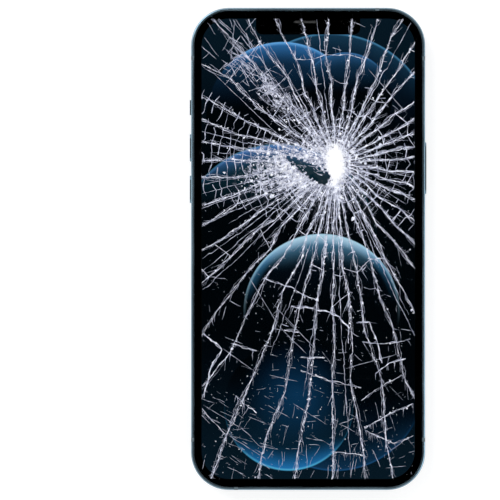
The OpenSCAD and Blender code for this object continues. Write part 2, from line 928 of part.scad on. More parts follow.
flex_t = 0.2;
flex_w = 1.4;
flex_gap = 0.25;
flex_head = 6;
flex_under_board = 0.55;
port_pad_l = 3;

// The flexible board from the port, along the battery's foot and up the left side
module charge_flex() {
    port_rear = from_bottom(socket_depth + port_wall);
    head_low = from_bottom(wall_t + 2);
    cross = from_bottom(bottom_parts_end) + flex_gap;
    left = -cavity_w / 2 + flex_gap;
    color([0.35, 0.2, 0.08]) {
        block([flex_head, cross + flex_w - head_low, flex_t], [-flex_head / 2, head_low, z_floor]);
        block([flex_head / 2 - left, flex_w, flex_t], [left, cross, z_floor]);
        block([flex_w, board_low + flex_under_board - cross, flex_t], [left, cross, z_floor]);
        block(
            [board_left + flex_under_board - left, flex_under_board, flex_t],
            [left, board_low, z_floor]
        );
        block(
            [flex_head, port_pad_l, z_middle - port_h / 2 - z_floor],
            [-flex_head / 2, port_rear - port_pad_l, z_floor]
        );
    }
}

// ---- Side buttons ----

window_depth = 1.1;
flange_lip = 0.7;
flange_t = 0.45;
flange_gap = 0.05;
post_r = 0.7;
post_end = 2.2;
dome_r = 1.4;
dome_t = 0.3;
rest_gap = 0.02;
dome_z = post_end + button_travel + rest_gap;
switch_z = dome_z + dome_t;
switch_t = 0.3;
switch_h = 3.4;
switch_foot = 1.4;

// Posts stand near both ends of a long button and in the middle of a short one
function posts(l) = l > 14 ? [-l / 4, l / 4] : [0];

module button_pocket(l) {
    translate([0, 0, -past]) linear_extrude(past + window_depth)
        stadium(l + 2 * fit, button_h + 2 * fit);
    translate([0, 0, window_depth]) linear_extrude(wall_t - window_depth + past)
        stadium(l + 2 * (flange_lip + fit), button_h + 2 * fit);
}

// The cap, the ears at its ends that keep it in the wall, and the posts that press the domes
module button(l) {
    flange_z = window_depth + flange_gap;
    color(steel) {
        translate([0, 0, -button_rise]) linear_extrude(button_rise + flange_z) stadium(l, button_h);
        translate([0, 0, flange_z]) linear_extrude(flange_t)
            stadium(l + 2 * flange_lip, button_h);
        for (x = posts(l)) translate([x, 0, flange_z]) cylinder(r = post_r, h = post_end - flange_z);
    }
}

// Domes on a sheet whose two feet stand on the wall beside the pocket
module button_switch(l) {
    span = l + 2 * (flange_lip + fit + switch_foot);
    for (x = posts(l)) translate([x, 0, dome_z]) cylinder(r = dome_r, h = dome_t);
    translate([0, 0, switch_z]) linear_extrude(switch_t) square([span, switch_h], center = true);
    for (s = [-1, 1]) translate([s * (span - switch_foot) / 2, 0, wall_t])
        linear_extrude(switch_z - wall_t) square([switch_foot, switch_h], center = true);
}

module power_button() {
    on_side(1, from_top(power_top)) button(power_l);
}

module volume_up_button() {
    on_side(-1, from_top(volume_up_top)) button(volume_l);
}

module volume_down_button() {
    on_side(-1, from_top(volume_down_top)) button(volume_l);
}

module power_switch() {
    color([0.72, 0.6, 0.35]) on_side(1, from_top(power_top)) button_switch(power_l);
}

module volume_switches() {
    color([0.72, 0.6, 0.35]) for (y = [volume_up_top, volume_down_top])
        on_side(-1, from_top(y)) button_switch(volume_l);
}

// ---- Mute switch: the lever slides between its two ends along Z ----

mute_recess = 0.9;
mute_side_gap = 0.3;
mute_stem = [1.6, 1.3];
mute_stem_end = 3.2;
mute_body = [6, 3.8];
mute_body_t = 1.7;
mute_lever_gap = 0.06;
mute_span = mute_travel + 2 * fit;

module mute_pocket() {
    translate([0, 0, -past]) linear_extrude(past + mute_recess)
        square([mute_l + 2 * mute_side_gap, mute_h + mute_span], center = true);
    translate([0, 0, mute_recess - past]) linear_extrude(wall_t + 2 * past)
        square([mute_stem[0] + 2 * fit, mute_stem[1] + mute_span], center = true);
}

module mute_lever() {
    color(steel) on_side(-1, from_top(mute_top)) translate([0, mute_travel / 2, 0]) {
        translate([0, 0, -button_rise]) linear_extrude(button_rise + mute_recess - mute_lever_gap)
            square([mute_l, mute_h], center = true);
        linear_extrude(mute_stem_end) square(mute_stem, center = true);
    }
}

module mute_switch() {
    color([0.15, 0.15, 0.16]) on_side(-1, from_top(mute_top)) difference() {
        translate([0, 0, wall_t]) linear_extrude(mute_body_t) square(mute_body, center = true);
        linear_extrude(mute_stem_end + fit)
            square([mute_stem[0] + 2 * fit, mute_stem[1] + mute_span], center = true);
    }
}

// ---- Card tray ----

tray_drop = 0.2;
tray_face_t = 1.2;
pin_r = 0.45;
pin_at = 6.2;
card_depth = 0.8;
card_floor_inset = 1;
card_start = 5;
reader_end = 0.6;

// Along the side, away from the tray's middle, the tray sits lower and the pin hole higher
module tray_slot() {
    translate([0, 0, -past]) linear_extrude(past + tray_face_t + seat)
        stadium(tray_face_l + 2 * fit, tray_face_h + 2 * fit);
    translate([-tray_shift, -tray_drop, 0]) linear_extrude(wall_t + past)
        square([tray_w + 2 * fit, tray_t + 2 * fit], center = true);
    translate([pin_at, 0, 0]) cylinder(r = pin_r, h = wall_t + past);
}

module sim_tray() {
    color(steel) on_side(-1, tray_y) difference() {
        union() {
            linear_extrude(tray_face_t) stadium(tray_face_l, tray_face_h);
            translate([-tray_shift, -tray_drop, 0]) linear_extrude(tray_reach)
                square([tray_w, tray_t], center = true);
        }
        translate([pin_at, 0, -past]) cylinder(r = pin_r, h = tray_face_t + 2 * past);
        translate([-tray_shift, -tray_drop, 0]) card_pocket();
    }
}

module card_pocket() {
    step = tray_t / 2 - card_depth;
    translate([-card_w / 2, step, card_start]) cube([card_w, tray_t, card_l]);
    translate([-card_w / 2 + card_floor_inset, -tray_t, card_start + card_floor_inset])
        cube([card_w - 2 * card_floor_inset, 2 * tray_t, card_l - 2 * card_floor_inset]);
}

// A sheet cage on the board, open towards the side, that the tray slides in
module sim_reader() {
    inner_w = tray_w + 2 * fit;
    low = z_board_top - z_middle;
    high = tray_t / 2 - tray_drop + fit;
    inner_low = -tray_t / 2 - tray_drop - fit;
    deep = tray_reach + reader_end - wall_t;
    color([0.66, 0.67, 0.7]) on_side(-1, tray_y) translate([-tray_shift, 0, wall_t]) difference() {
        translate([-inner_w / 2 - reader_wall, low, 0])
            cube([inner_w + 2 * reader_wall, high + reader_wall - low, deep]);
        translate([-inner_w / 2, inner_low, -past])
            cube([inner_w, high - inner_low, deep - reader_wall + past]);
    }
}

cover_glass();
display_panel();
display_shield();
display_bezel();
display_gasket();
display_cables();
earpiece_mesh();
earpiece_speaker();
front_camera();
face_sensors();
side_frame();
antenna_bands();
back_glass();
lens_trim(lens_at[0]);  // wide_lens_trim
lens_trim(lens_at[1]);  // ultrawide_lens_trim
lens_trim(lens_at[2]);  // telephoto_lens_trim
lens_cover(lens_at[0]);  // wide_lens_cover
lens_cover(lens_at[1]);  // ultrawide_lens_cover
lens_cover(lens_at[2]);  // telephoto_lens_cover
camera(lens_at[0]);  // wide_camera
camera(lens_at[1]);  // ultrawide_camera
camera(lens_at[2]);  // telephoto_camera
camera_bracket();
flash_lens();
flash_module();
depth_sensor_window();
depth_sensor();
rear_microphone();
magnet_ring();
charging_coil();
coil_shield();
battery();
logic_board();
board_chips();
board_shields();
housing_screws();
haptic_motor();
loudspeaker();
loudspeaker_mesh();
bottom_microphone();
microphone_mesh();
charge_port();
charge_flex();
bottom_screws();
power_button();
volume_up_button();
volume_down_button();
mute_lever();
power_switch();
volume_switches();
mute_switch();
sim_tray();
sim_reader();
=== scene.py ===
from functools import partial
import json
import bpy
import numpy as np
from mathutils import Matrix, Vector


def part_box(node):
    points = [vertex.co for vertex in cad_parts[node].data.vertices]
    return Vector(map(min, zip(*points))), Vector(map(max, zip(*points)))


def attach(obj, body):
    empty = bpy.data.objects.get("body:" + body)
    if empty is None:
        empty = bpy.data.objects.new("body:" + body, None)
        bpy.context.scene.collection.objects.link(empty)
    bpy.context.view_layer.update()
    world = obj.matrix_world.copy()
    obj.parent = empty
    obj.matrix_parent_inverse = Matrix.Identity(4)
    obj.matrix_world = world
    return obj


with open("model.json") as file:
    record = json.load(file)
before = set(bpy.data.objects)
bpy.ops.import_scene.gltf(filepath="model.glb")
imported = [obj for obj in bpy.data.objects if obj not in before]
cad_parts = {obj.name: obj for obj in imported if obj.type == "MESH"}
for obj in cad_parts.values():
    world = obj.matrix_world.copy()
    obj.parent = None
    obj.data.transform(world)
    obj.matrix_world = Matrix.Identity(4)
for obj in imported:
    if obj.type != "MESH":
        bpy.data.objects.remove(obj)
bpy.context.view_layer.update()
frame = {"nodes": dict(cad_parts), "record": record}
nodes = frame["nodes"]
mm = 0.001
print("frame loaded,", len(nodes), "nodes")


def toLinear(code):
    # sRGB to linear: ((c + 0.055) / 1.055) to the power 2.4, or c / 12.92 where it is dark
    srgb = np.array([int(code[i:i + 2], 16) / 255 for i in (1, 3, 5)])
    linear = np.where(srgb <= 0.04045, srgb / 12.92, ((srgb + 0.055) / 1.055) ** 2.4)
    return (*linear.tolist(), 1.0)


def addNode(tree, kind, settings=None, out=0):
    # Adds one node and gives one of its outputs. A setting is an option, a socket's own value, where
    # a hex code becomes a linear colour, or another node's output that feeds the socket
    node = tree.nodes.new("ShaderNode" + kind)
    for name, value in (settings or {}).items():
        if isinstance(value, bpy.types.NodeSocket):
            tree.links.new(value, node.inputs[name])
        elif isinstance(name, str) and hasattr(node, name):
            setattr(node, name, value)
        else:
            value = toLinear(value) if isinstance(value, str) else value
            node.inputs[name].default_value = value
    return node.outputs[out] if node.outputs else None


def clearTree(owner):
    # Empties the nodes of a material or a world, and gives addNode for them
    owner.use_nodes = True
    owner.node_tree.nodes.clear()
    return partial(addNode, owner.node_tree)


def newMaterial(name):
    # An empty material, what adds its nodes, and the object's coordinates to lay patterns on
    material = bpy.data.materials.new(name)
    add = clearTree(material)
    return material, add, add("TexCoord", out="Object")


def endMaterial(material, sockets):
    add = partial(addNode, material.node_tree)
    add("OutputMaterial", {"Surface": add("BsdfPrincipled", sockets)})
    return material


def span(side, ends, unit=1):
    # The settings for one side of a map range: its two ends, in a unit
    return {side + " Min": ends[0] * unit, side + " Max": ends[1] * unit}


patterns = {  # node, its options, its output, and the pattern's size in units of 1 / scale
    "noise": ("TexNoise", {"Detail": 4.0}, "Fac", 1.0),
    "cells": ("TexVoronoi", {}, "Distance", 1.0),
    "rings": ("TexWave", {"wave_type": "RINGS", "rings_direction": "Z"}, "Fac", 0.314),
    "lines": ("TexWave", {"bands_direction": "Y"}, "Fac", 0.314),
}
grainDepth = 0.2  # how deep a bump is, as a share of its grain's size


def paint(name, low, high, spotMm, grainMm, roughness, bump, more):
    # Noise mixes the two colours and moves the roughness; the pattern lifts the surface
    material, add, place = newMaterial(name)
    stretched = add("Mapping", {"Scale": more.get("stretch", (1, 1, 1)), "Vector": place})
    noise = add("TexNoise", {"Scale": 1 / (spotMm * mm), "Detail": 5.0, "Vector": stretched}, "Fac")
    share = add("MapRange", {**span("From", (0.34, 0.66)), "Value": noise})
    kind, options, output, size = patterns[more.get("pattern", "noise")]
    grain = add(kind, {"Scale": size / (grainMm * mm), **options, "Vector": stretched}, output)
    tone, shown = share, more.get("grainTone")  # how much of the pattern shows in the colour
    if shown:
        part = add("Math", {"operation": "MULTIPLY", 0: grain, 1: shown})
        rest = add("Math", {"operation": "MULTIPLY", 0: share, 1: 1 - shown})
        tone = add("Math", {"operation": "ADD", "use_clamp": True, 0: part, 1: rest})
    colour = add("Mix", {"data_type": "RGBA", 0: tone, 6: low, 7: high}, 2)
    spread = add("MapRange", {**span("To", roughness), "Value": share})
    lift = add("Bump", {"Strength": bump, "Distance": grainMm * grainDepth * mm, "Height": grain})
    return endMaterial(material, {**more.get("sockets", {}), "Base Color": colour,
                                  "Roughness": spread, "Normal": lift})


def dress(material, *names):
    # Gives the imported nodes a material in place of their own
    for name in names:
        for part in nodes[name].material_slots:
            part.material = material


def newPiece(name, points, faces, material, slot, body="phone", smooth=False):
    # Points are in mm, and every face has as many corners as the others
    mesh = bpy.data.meshes.new(name)
    mesh.vertices.add(len(points))
    mesh.vertices.foreach_set("co", (np.asarray(points, float) * mm).ravel())
    mesh.loops.add(faces.size)
    mesh.loops.foreach_set("vertex_index", faces.ravel().astype(np.int32))
    mesh.polygons.add(len(faces))
    mesh.polygons.foreach_set("loop_start", np.arange(0, faces.size, faces.shape[1], dtype=np.int32))
    mesh.polygons.foreach_set("use_smooth", np.full(len(faces), smooth))
    mesh.update(calc_edges=True)
    mesh.materials.append(material)
    piece = bpy.data.objects.new(name, mesh)
    bpy.context.scene.collection.objects.link(piece)
    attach(piece, body)
    print(name, len(faces), "faces")
    return piece


# The camera looks straight down on a white floor under two round softboxes
studio = {
    "lookAt": (-19.4, -0.35),   # mm
    "height": 1400,             # mm above the floor
    "field": 166.7,             # mm across the view, at the glass
    "world": 0.8,
    "dark": (0.93, 0.985),      # the ceiling turns dark between these heights of a direction
    "floorHalf": 3.0,           # m
    "floorGlow": 0.66,
    "lamps": [((-520, 560, 900), 700, 6.4), ((620, -250, 800), 600, 2.6)],  # place, size in mm, watts
}


def setStudio(look):
    scene = bpy.context.scene
    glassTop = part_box("cover_glass")[1].z
    lens = bpy.data.cameras.new("camera")
    lens.lens = lens.sensor_width * (look["height"] * mm - glassTop) / (look["field"] * mm)
    lens.clip_start, lens.clip_end = 0.05, 20
    camera = bpy.data.objects.new("camera", lens)
    camera.location = (look["lookAt"][0] * mm, look["lookAt"][1] * mm, look["height"] * mm)
    scene.collection.objects.link(camera)
    scene.camera = camera

    for place, size, power in look["lamps"]:
        light = bpy.data.lights.new("softbox", "AREA")
        light.shape, light.size, light.energy = "DISK", size * mm, power
        lamp = bpy.data.objects.new("softbox", light)
        lamp.location = np.array(place) * mm
        lamp.rotation_euler = (-lamp.location).to_track_quat("-Z", "Y").to_euler()
        scene.collection.objects.link(lamp)

    world = bpy.data.worlds.new("studio")
    add = clearTree(world)
    low, high = look["dark"]
    height = add("SeparateXYZ", {0: add("TexCoord", out="Generated")}, "Z")
    dark = add("MapRange", {"interpolation_type": "SMOOTHSTEP", "From Min": low, "From Max": high,
                            "To Min": look["world"], "To Max": 0.0, "Value": height})
    seen = add("LightPath", out="Is Camera Ray")
    level = add("Mix", {"data_type": "FLOAT", 0: seen, 2: dark, 3: 1.0})
    glow = add("Background", {"Color": "#ffffff", "Strength": level})
    add("OutputWorld", {"Surface": glow})
    scene.world = world
    scene.view_settings.view_transform = "Standard"

    # The floor is white to the camera and in reflections, and keeps the phone's shadow
    material = bpy.data.materials.new("whiteFloor")
    add = clearTree(material)
    rays = add("LightPath").node.outputs
    seen = rays["Is Camera Ray"]
    for ray in ("Is Glossy Ray", "Is Transmission Ray"):
        seen = add("Math", {"operation": "MAXIMUM", 0: seen, 1: rays[ray]})
    matte = add("BsdfDiffuse", {"Color": (0.75, 0.75, 0.75, 1)})
    thin = add("BsdfDiffuse", {"Color": (0.42, 0.42, 0.42, 1)})
    glow = add("Emission", {"Color": "#ffffff", "Strength": look["floorGlow"]})
    white = add("AddShader", {0: thin, 1: glow})
    both = add("MixShader", {0: seen, 1: matte, 2: white})
    add("OutputMaterial", {"Surface": both})
    half = look["floorHalf"]
    mesh = bpy.data.meshes.new("floor")
    corners = [(-half, -half, 0), (half, -half, 0), (half, half, 0), (-half, half, 0)]
    mesh.from_pydata(corners, [], [(0, 1, 2, 3)])
    mesh.materials.append(material)
    floor = bpy.data.objects.new("floor", mesh)
    scene.collection.objects.link(floor)


setStudio(studio)
print("camera, floor and light set")


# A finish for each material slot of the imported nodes: the material's name, its two colours, the sizes
# of its spots and grain in mm, its roughness from and to, the grain's bump, and what else it sets
metal = {"Metallic": 1.0}
finishes = {
    # Cold-rolled sheet steel, blackened: even dark grey with a faint rolling grain
    "dark_steel": ("blackenedSheetSteel", "#3a3e42", "#4a4f54", 3.0, 0.12, (0.28, 0.42), 0.15,
                   {"stretch": (1, 0.12, 1), "sockets": metal}),
    # Glass-filled nylon, moulded and spark-eroded: dull black with a fine pebble grain
    "black_plastic": ("mouldedBlackNylon", "#08080a", "#111215", 1.5, 0.25, (0.42, 0.6), 0.2, {}),
    # Closed-cell foam tape: soft, dead black, small open pores at the cut edge
    "gasket_rubber": ("adhesiveFoam", "#050505", "#0d0d0e", 0.8, 0.3, (0.8, 0.95), 0.5,
                      {"pattern": "cells"}),
    # Polyimide flexible circuit: clear amber film over copper tracks
    "flex_board": ("polyimideFlex", "#4a2410", "#8a4d1c", 1.0, 0.8, (0.3, 0.42), 0.25,
                   {"pattern": "lines", "grainTone": 0.6}),
    # Surgical steel, mirror polished under a thin blue-grey vapour coating: faint wiping marks
    "polished_steel": ("coatedPolishedSteel", "#7b95a5", "#87a1b0", 14.0, 0.4, (0.22, 0.27), 0.02,
                       {"sockets": metal}),
    # Glass-filled polymer in the antenna breaks, machined flush: satin, a little darker than the steel
    "band_plastic": ("machinedBandPolymer", "#46565f", "#53646d", 1.2, 0.12, (0.38, 0.5), 0.15,
                     {"stretch": (1, 1, 4)}),
    # Turned and polished steel rings: bright, with hair-fine turning marks
    "trim_steel": ("turnedTrimSteel", "#9db4c1", "#b4c9d4", 4.0, 0.1, (0.08, 0.16), 0.03,
                   {"sockets": metal}),
    # Infrared-passing polycarbonate: deep brown-black gloss
    "sensor_plastic": ("infraredWindow", "#150e0e", "#241a1a", 2.0, 0.6, (0.1, 0.16), 0.03, {}),
    # Gold flash on nickel: warm, bright, slightly cloudy
    "gold_can": ("goldFlash", "#a58a4a", "#c9ad68", 0.8, 0.15, (0.2, 0.32), 0.1, {"sockets": metal}),
    # Nickel-plated neodymium: cold grey with a pressed, faintly pitted skin
    "magnet_metal": ("nickelPlatedMagnet", "#7f8286", "#96999c", 1.5, 0.4, (0.25, 0.38), 0.12,
                     {"pattern": "cells", "sockets": metal}),
    # Enamelled copper strands laid in a flat spiral: one ridge a turn, 0.7 mm apart
    "coil_copper": ("enamelledCopper", "#6e3115", "#c4713a", 4.0, 0.7, (0.25, 0.36), 0.6,
                    {"pattern": "rings", "grainTone": 0.7, "sockets": metal}),
    # Aluminium laminate pouch with black film: soft dents and a satin sheen
    "battery_film": ("laminatePouch", "#111214", "#1d1e21", 7.0, 3.0, (0.32, 0.48), 0.25, {}),
    # Solder mask over glass cloth: dark green, with the weave just showing
    "circuit_board": ("solderMask", "#06231a", "#0d3a2a", 1.1, 0.5, (0.25, 0.4), 0.3,
                      {"pattern": "cells", "grainTone": 0.5}),
    # Drawn nickel-silver cans: bright grey with straight drawing marks
    "can_steel": ("drawnNickelSilver", "#8d8f90", "#a9abac", 2.5, 0.12, (0.22, 0.34), 0.12,
                  {"stretch": (0.1, 1, 1), "sockets": metal}),
}
partFinishes = {  # nodes that look different from the rest of their slot
    # Woven steel mesh over the sound holes: wire pitch 0.35 mm, drawn coarser than the real 0.1 mm
    ("earpiece_mesh", "loudspeaker_mesh", "microphone_mesh"): (
        "wovenSteelMesh", "#030304", "#141618", 0.4, 0.35, (0.4, 0.5), 0.7,
        {"pattern": "cells", "grainTone": 0.85}),
    # Glossy black optical polymer over the front camera and the face sensors
    ("front_camera", "face_sensors"): ("opticalBlack", "#020203", "#060609", 1.2, 0.5, (0.06, 0.12),
                                       0.02, {}),
}
made = {slot: paint(*finish) for slot, finish in finishes.items()}
for part in frame["record"]["subparts"]:
    if part["material_slot"] in made:
        dress(made[part["material_slot"]], part["node"])
for group, finish in partFinishes.items():
    dress(paint(*finish), *group)

clearGlasses = {
    # Ion-strengthened aluminosilicate glass, fire-polished: clear, with faint finger smudges
    ("cover_glass",): ("strengthenedGlass", {
        "smudgeMm": 9.0, "detail": 6.0, "smudged": (0.5, 0.75), "rough": 0.05,
        "sockets": {"Base Color": "#f4f8fa", "Transmission Weight": 1.0, "IOR": 1.5}}),
    # Sapphire with an anti-reflection coating over the lenses: nearly black, with a violet cast
    ("wide_lens_cover", "ultrawide_lens_cover", "telephoto_lens_cover"): ("coatedSapphire", {
        "smudgeMm": 3.0, "detail": 3.0, "smudged": (0.45, 0.8), "rough": 0.06,
        "sockets": {"Base Color": "#9aa2b4", "Transmission Weight": 1.0, "IOR": 1.6,
                    "Specular IOR Level": 0.2}}),
}


def makeClearGlass(name, look):
    # Noise lays smudges, which are rougher than the clean glass
    material, add, place = newMaterial(name)
    smudge = add("TexNoise", {"Scale": 1 / (look["smudgeMm"] * mm), "Detail": look["detail"],
                              "Vector": place}, "Fac")
    worn = add("MapRange", {**span("From", look["smudged"]), "To Max": look["rough"], "Value": smudge})
    return endMaterial(material, {**look["sockets"], "Roughness": worn})


for group, (name, look) in clearGlasses.items():
    dress(makeClearGlass(name, look), *group)

rearLook = {
    "deep": "#3f5f70", "pale": "#557687", "cloudMm": 26.0, "etchMm": 0.12,
    "polished": 0.1, "etched": (0.34, 0.46), "bump": 0.12,
    "step": (2.45, 2.58),  # mm above the floor: below it the glass is the polished plateau
}


def makeRearGlass(look):
    # Aluminosilicate glass with a blue ink behind it: acid-etched satin, but polished on the plateau
    material, add, place = newMaterial("etchedBlueGlass")
    cloud = add("TexNoise", {"Scale": 1 / (look["cloudMm"] * mm), "Detail": 3.0,
                             "Vector": place}, "Fac")
    colour = add("Mix", {"data_type": "RGBA", 0: cloud, 6: look["deep"], 7: look["pale"]}, 2)
    height = add("SeparateXYZ", {0: place}, "Z")
    etched = add("MapRange", {**span("From", look["step"], mm), "Value": height})
    etch = add("TexNoise", {"Scale": 1 / (look["etchMm"] * mm), "Detail": 2.0, "Vector": place}, "Fac")
    speckle = add("MapRange", {**span("To", look["etched"]), "Value": etch})
    rough = add("Mix", {"data_type": "FLOAT", 0: etched, 2: look["polished"], 3: speckle})
    lift = add("Math", {"operation": "MULTIPLY", 0: etch, 1: etched})
    depth = look["etchMm"] * grainDepth * mm
    bump = add("Bump", {"Strength": look["bump"], "Distance": depth, "Height": lift})
    return endMaterial(material, {"Specular IOR Level": 0.5, "Coat Weight": 0.15,
                                  "Coat Roughness": 0.25, "Base Color": colour, "Roughness": rough,
                                  "Normal": bump})


dress(makeRearGlass(rearLook), "back_glass")

flashLook = {"edge": "#d9c38a", "middle": "#fff1c8", "fade": (1.2, 3.0), "pitchMm": 0.35, "bump": 0.6}


def makeFlashLens(look):
    # Moulded silicone diffuser over two phosphor dies: cream, with fine Fresnel rings round its middle
    low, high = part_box("flash_lens")
    middle = (low + high) / 2
    material, add, place = newMaterial("phosphorDiffuser")
    centred = add("Mapping", {"Location": (-middle.x, -middle.y, 0), "Scale": (1, 1, 0),
                              "Vector": place})
    ring = add("TexWave", {"wave_type": "RINGS", "rings_direction": "SPHERICAL",
                           "Scale": 0.314 / (look["pitchMm"] * mm), "Vector": centred}, "Fac")
    away = add("VectorMath", {"operation": "LENGTH", 0: centred}, "Value")
    edge = add("MapRange", {**span("From", look["fade"], mm), "Value": away})
    colour = add("Mix", {"data_type": "RGBA", 0: edge, 6: look["middle"], 7: look["edge"]}, 2)
    bump = add("Bump", {"Strength": look["bump"], "Distance": 0.05 * mm, "Height": ring})
    return endMaterial(material, {"Roughness": 0.3, "Base Color": colour, "Normal": bump})


dress(makeFlashLens(flashLook), "flash_lens", "flash_module")
print("finishes made,", len(bpy.data.materials), "materials")

artwork = {
    "ground": "#010407", "groundEnds": "#081924",
    "groundFade": (25, 85),  # mm from the middle: the ground lightens between them
    # From back to front: middle, radius and soft edge in mm, strength, colour inside, the lit side, 1
    # for top and -1 for bottom, and how far down from it the light reaches, in radii. Then glows: a
    # colour, its depth in mm from the edge, how fast it fades, and its own reach
    "discs": [
        ((7.5, 37.5), 34.5, 0.2, 1.0, "#0b1e2f", 1, 1.0, [
            ("#17384f", 8.0, 1.5, 0.8), ("#4684ac", 0.8, 1.0, 1.0)]),
        ((-8.5, 43.5), 25.5, 0.2, 1.0, "#112d47", 1, 0.9, [
            ("#2f6ba4", 7.5, 1.2, 0.5), ("#6db2ee", 1.2, 1.2, 0.35)]),
        ((12.5, 50.0), 15.5, 0.2, 1.0, "#12304a", 1, 0.9, [
            ("#28557f", 5.0, 1.2, 0.5), ("#3a72a8", 0.6, 1.0, 0.45)]),
        ((-10.0, 2.0), 33.0, 0.2, 1.0, "#0f2f3c", 1, 0.7, [
            ("#3f6ca6", 6.0, 1.1, 0.42), ("#5f8fca", 1.1, 1.0, 0.5), ("#2c6070", 0.6, 1.0, 1.0)]),
        ((9.0, -44.0), 30.0, 0.2, 1.0, "#061a2a", -1, 0.9, [
            ("#10304c", 7.0, 1.2, 0.7), ("#1b4c78", 0.7, 1.0, 0.7)]),
        ((-6.5, -52.5), 21.5, 0.2, 1.0, "#082030", -1, 1.6, [
            ("#2273b0", 8.5, 1.25, 0.55), ("#5cc2e6", 0.9, 1.0, 0.5), ("#2b6d90", 0.4, 1.0, 1.2)]),
        ((4.5, -21.0), 26.0, 0.2, 1.0, "#050f18", 1, 0.9, [
            ("#578fb2", 10.5, 1.15, 0.5), ("#4b92c2", 3.2, 1.2, 0.9), ("#bfdae6", 3.6, 1.0, 0.42),
            ("#a5cfe4", 0.9, 1.0, 1.2)]),
        ((-4.0, -48.5), 7.0, 12.5, 0.58, "#13456e", -1, 9.0, []),
    ],
}


def makeArtwork(look):
    # An organic LED panel showing overlapping discs, each with soft glows along one side of its edge
    material, add, place = newMaterial("litPanel")
    flat = add("Mapping", {"Scale": (1, 1, 0), "Vector": place})
    upward = add("SeparateXYZ", {0: place}, "Y")

    def litSide(y, r, side, reach):
        top = (y + side * r) * mm
        start = top - side * reach * r * mm
        return add("MapRange", {"interpolation_type": "SMOOTHSTEP", "From Min": start, "From Max": top,
                                "Value": upward})

    height = add("Math", {"operation": "ABSOLUTE", 0: upward})
    pale = add("MapRange", {"interpolation_type": "SMOOTHSTEP", **span("From", look["groundFade"], mm),
                            "Value": height})
    ground = look["ground"]
    shown = add("Mix", {"data_type": "RGBA", 0: pale, 6: ground, 7: look["groundEnds"]}, 2)
    for (x, y), r, soft, strength, inner, side, reach, glows in look["discs"]:
        rim, soft = r * mm, soft * mm
        away = add("VectorMath", {"operation": "DISTANCE", 0: flat, 1: (x * mm, y * mm, 0)}, "Value")
        inside = add("MapRange", {
            "interpolation_type": "SMOOTHSTEP", "From Min": rim - soft, "From Max": rim + soft,
            "To Min": strength, "To Max": 0.0, "Value": away})
        lit = add("Mix", {"data_type": "RGBA", 0: litSide(y, r, side, reach), 6: ground, 7: inner}, 2)
        for colour, depth, fade, reach in glows:
            near = add("MapRange", {"From Min": rim - depth * mm, "From Max": rim, "Value": away})
            edge = add("Math", {"operation": "POWER", 0: near, 1: fade})
            share = add("Math", {"operation": "MULTIPLY", 0: edge, 1: litSide(y, r, side, reach)})
            lit = add("Mix", {"data_type": "RGBA", 0: share, 6: lit, 7: colour}, 2)
        shown = add("Mix", {"data_type": "RGBA", 0: inside, 6: shown, 7: lit}, 2)
    return endMaterial(material, {"Base Color": "#050608", "Roughness": 0.25, "Emission Strength": 1.0,
                                  "Emission Color": shown})


dress(makeArtwork(artwork), "display_panel")
print("artwork made")


# Every crack starts from the impact
impact = np.array([9.0, 28.5])  # mm
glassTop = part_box("cover_glass")[1].z / mm
panelLow, panelHigh = (np.array(corner)[:2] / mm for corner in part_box("display_panel"))
glassHigh = np.array(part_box("cover_glass")[1])[:2] / mm
breakage = {
    "outlineR": 11.55,    # corner radius of the glass
    "outlineEdge": 0.45,  # cracks stop this far inside the glass edge
    # Where glass fell out: a bar's two ends, its length and half width
    "chipFrom": (-6.5, 30.5), "chipTo": (5.0, 23.8), "chipLong": 13.3, "chipHalf": 1.7,
    "chipShape": (0.35, 0.9, 1.6),  # share of the half width at its start, what it gains, and how fast
    "chipRagged": [(0.45, 2.9, 1.3), (0.4, -2.2, 4.1)],  # waves: size in mm, radians a mm across and up
}
draw = np.random.default_rng(20)


def visible(points):
    # Inside the lit area and inside the rounded outline of the glass
    inRect = ((points > panelLow) & (points < panelHigh)).all(1)
    half = glassHigh - breakage["outlineEdge"]
    radius = breakage["outlineR"] - breakage["outlineEdge"]
    past = np.maximum(np.abs(points) - (half - radius), 0)
    return inRect & (np.hypot(past[:, 0], past[:, 1]) < radius)


def offChip(points):
    # Distance outside the place where glass fell out: the distance from a straight bar, less a half
    # width that grows along it and waves that make its edge ragged
    start, end = np.array(breakage["chipFrom"]), np.array(breakage["chipTo"])
    way = end - start
    along = (points - start) @ way
    nearest = start + np.clip(along / (way @ way), 0, 1)[:, None] * way
    first, gain, speed = breakage["chipShape"]
    half = first + gain * np.clip(speed * along / breakage["chipLong"] ** 2, 0, 1)
    ragged = sum(size * np.sin(points @ wave) for size, *wave in breakage["chipRagged"])
    return np.linalg.norm(points - nearest, axis=1) - breakage["chipHalf"] * half - ragged


def waver(reach, step):
    # Smooth random sway: random heights one step apart, read between by straight lines
    knots = draw.uniform(-1, 1, int(reach.max() / step) + 3)
    return np.interp(reach / step, np.arange(len(knots)), knots)


def jogs(reach, step):
    # Sudden shifts to the side: one random height for each stretch of a crack
    heights = draw.uniform(-1, 1, int(reach.max() / step) + 3)
    return heights[(reach / step).astype(int)]


endings = {  # how the width runs from 0 at a strand's start to 1 at its end
    "blunt": lambda share: np.ones_like(share),
    "point": lambda share: np.clip(4 * (1 - share), 0.08, 1),
    "points": lambda share: np.clip(3.2 * np.sin(np.pi * share), 0.08, 1),
    "spike": lambda share: np.clip(1.05 - share, 0.06, 1),
}
strandLook = {  # what a family of cracks doesn't set itself, in mm; swell is a share of the width
    "step": 0.6, "bow": 0.0, "sway": 0.2, "shake": 0.08, "swell": 0.4, "ending": "blunt",
    "shortest": 0.15, "thinnest": 0.02, "calmUnder": 6,  # shorter strands than this sway less
    "swayStep": 2.3, "shakeStep": 0.7, "jogStep": 3.7, "swellStep": 1.3,
}


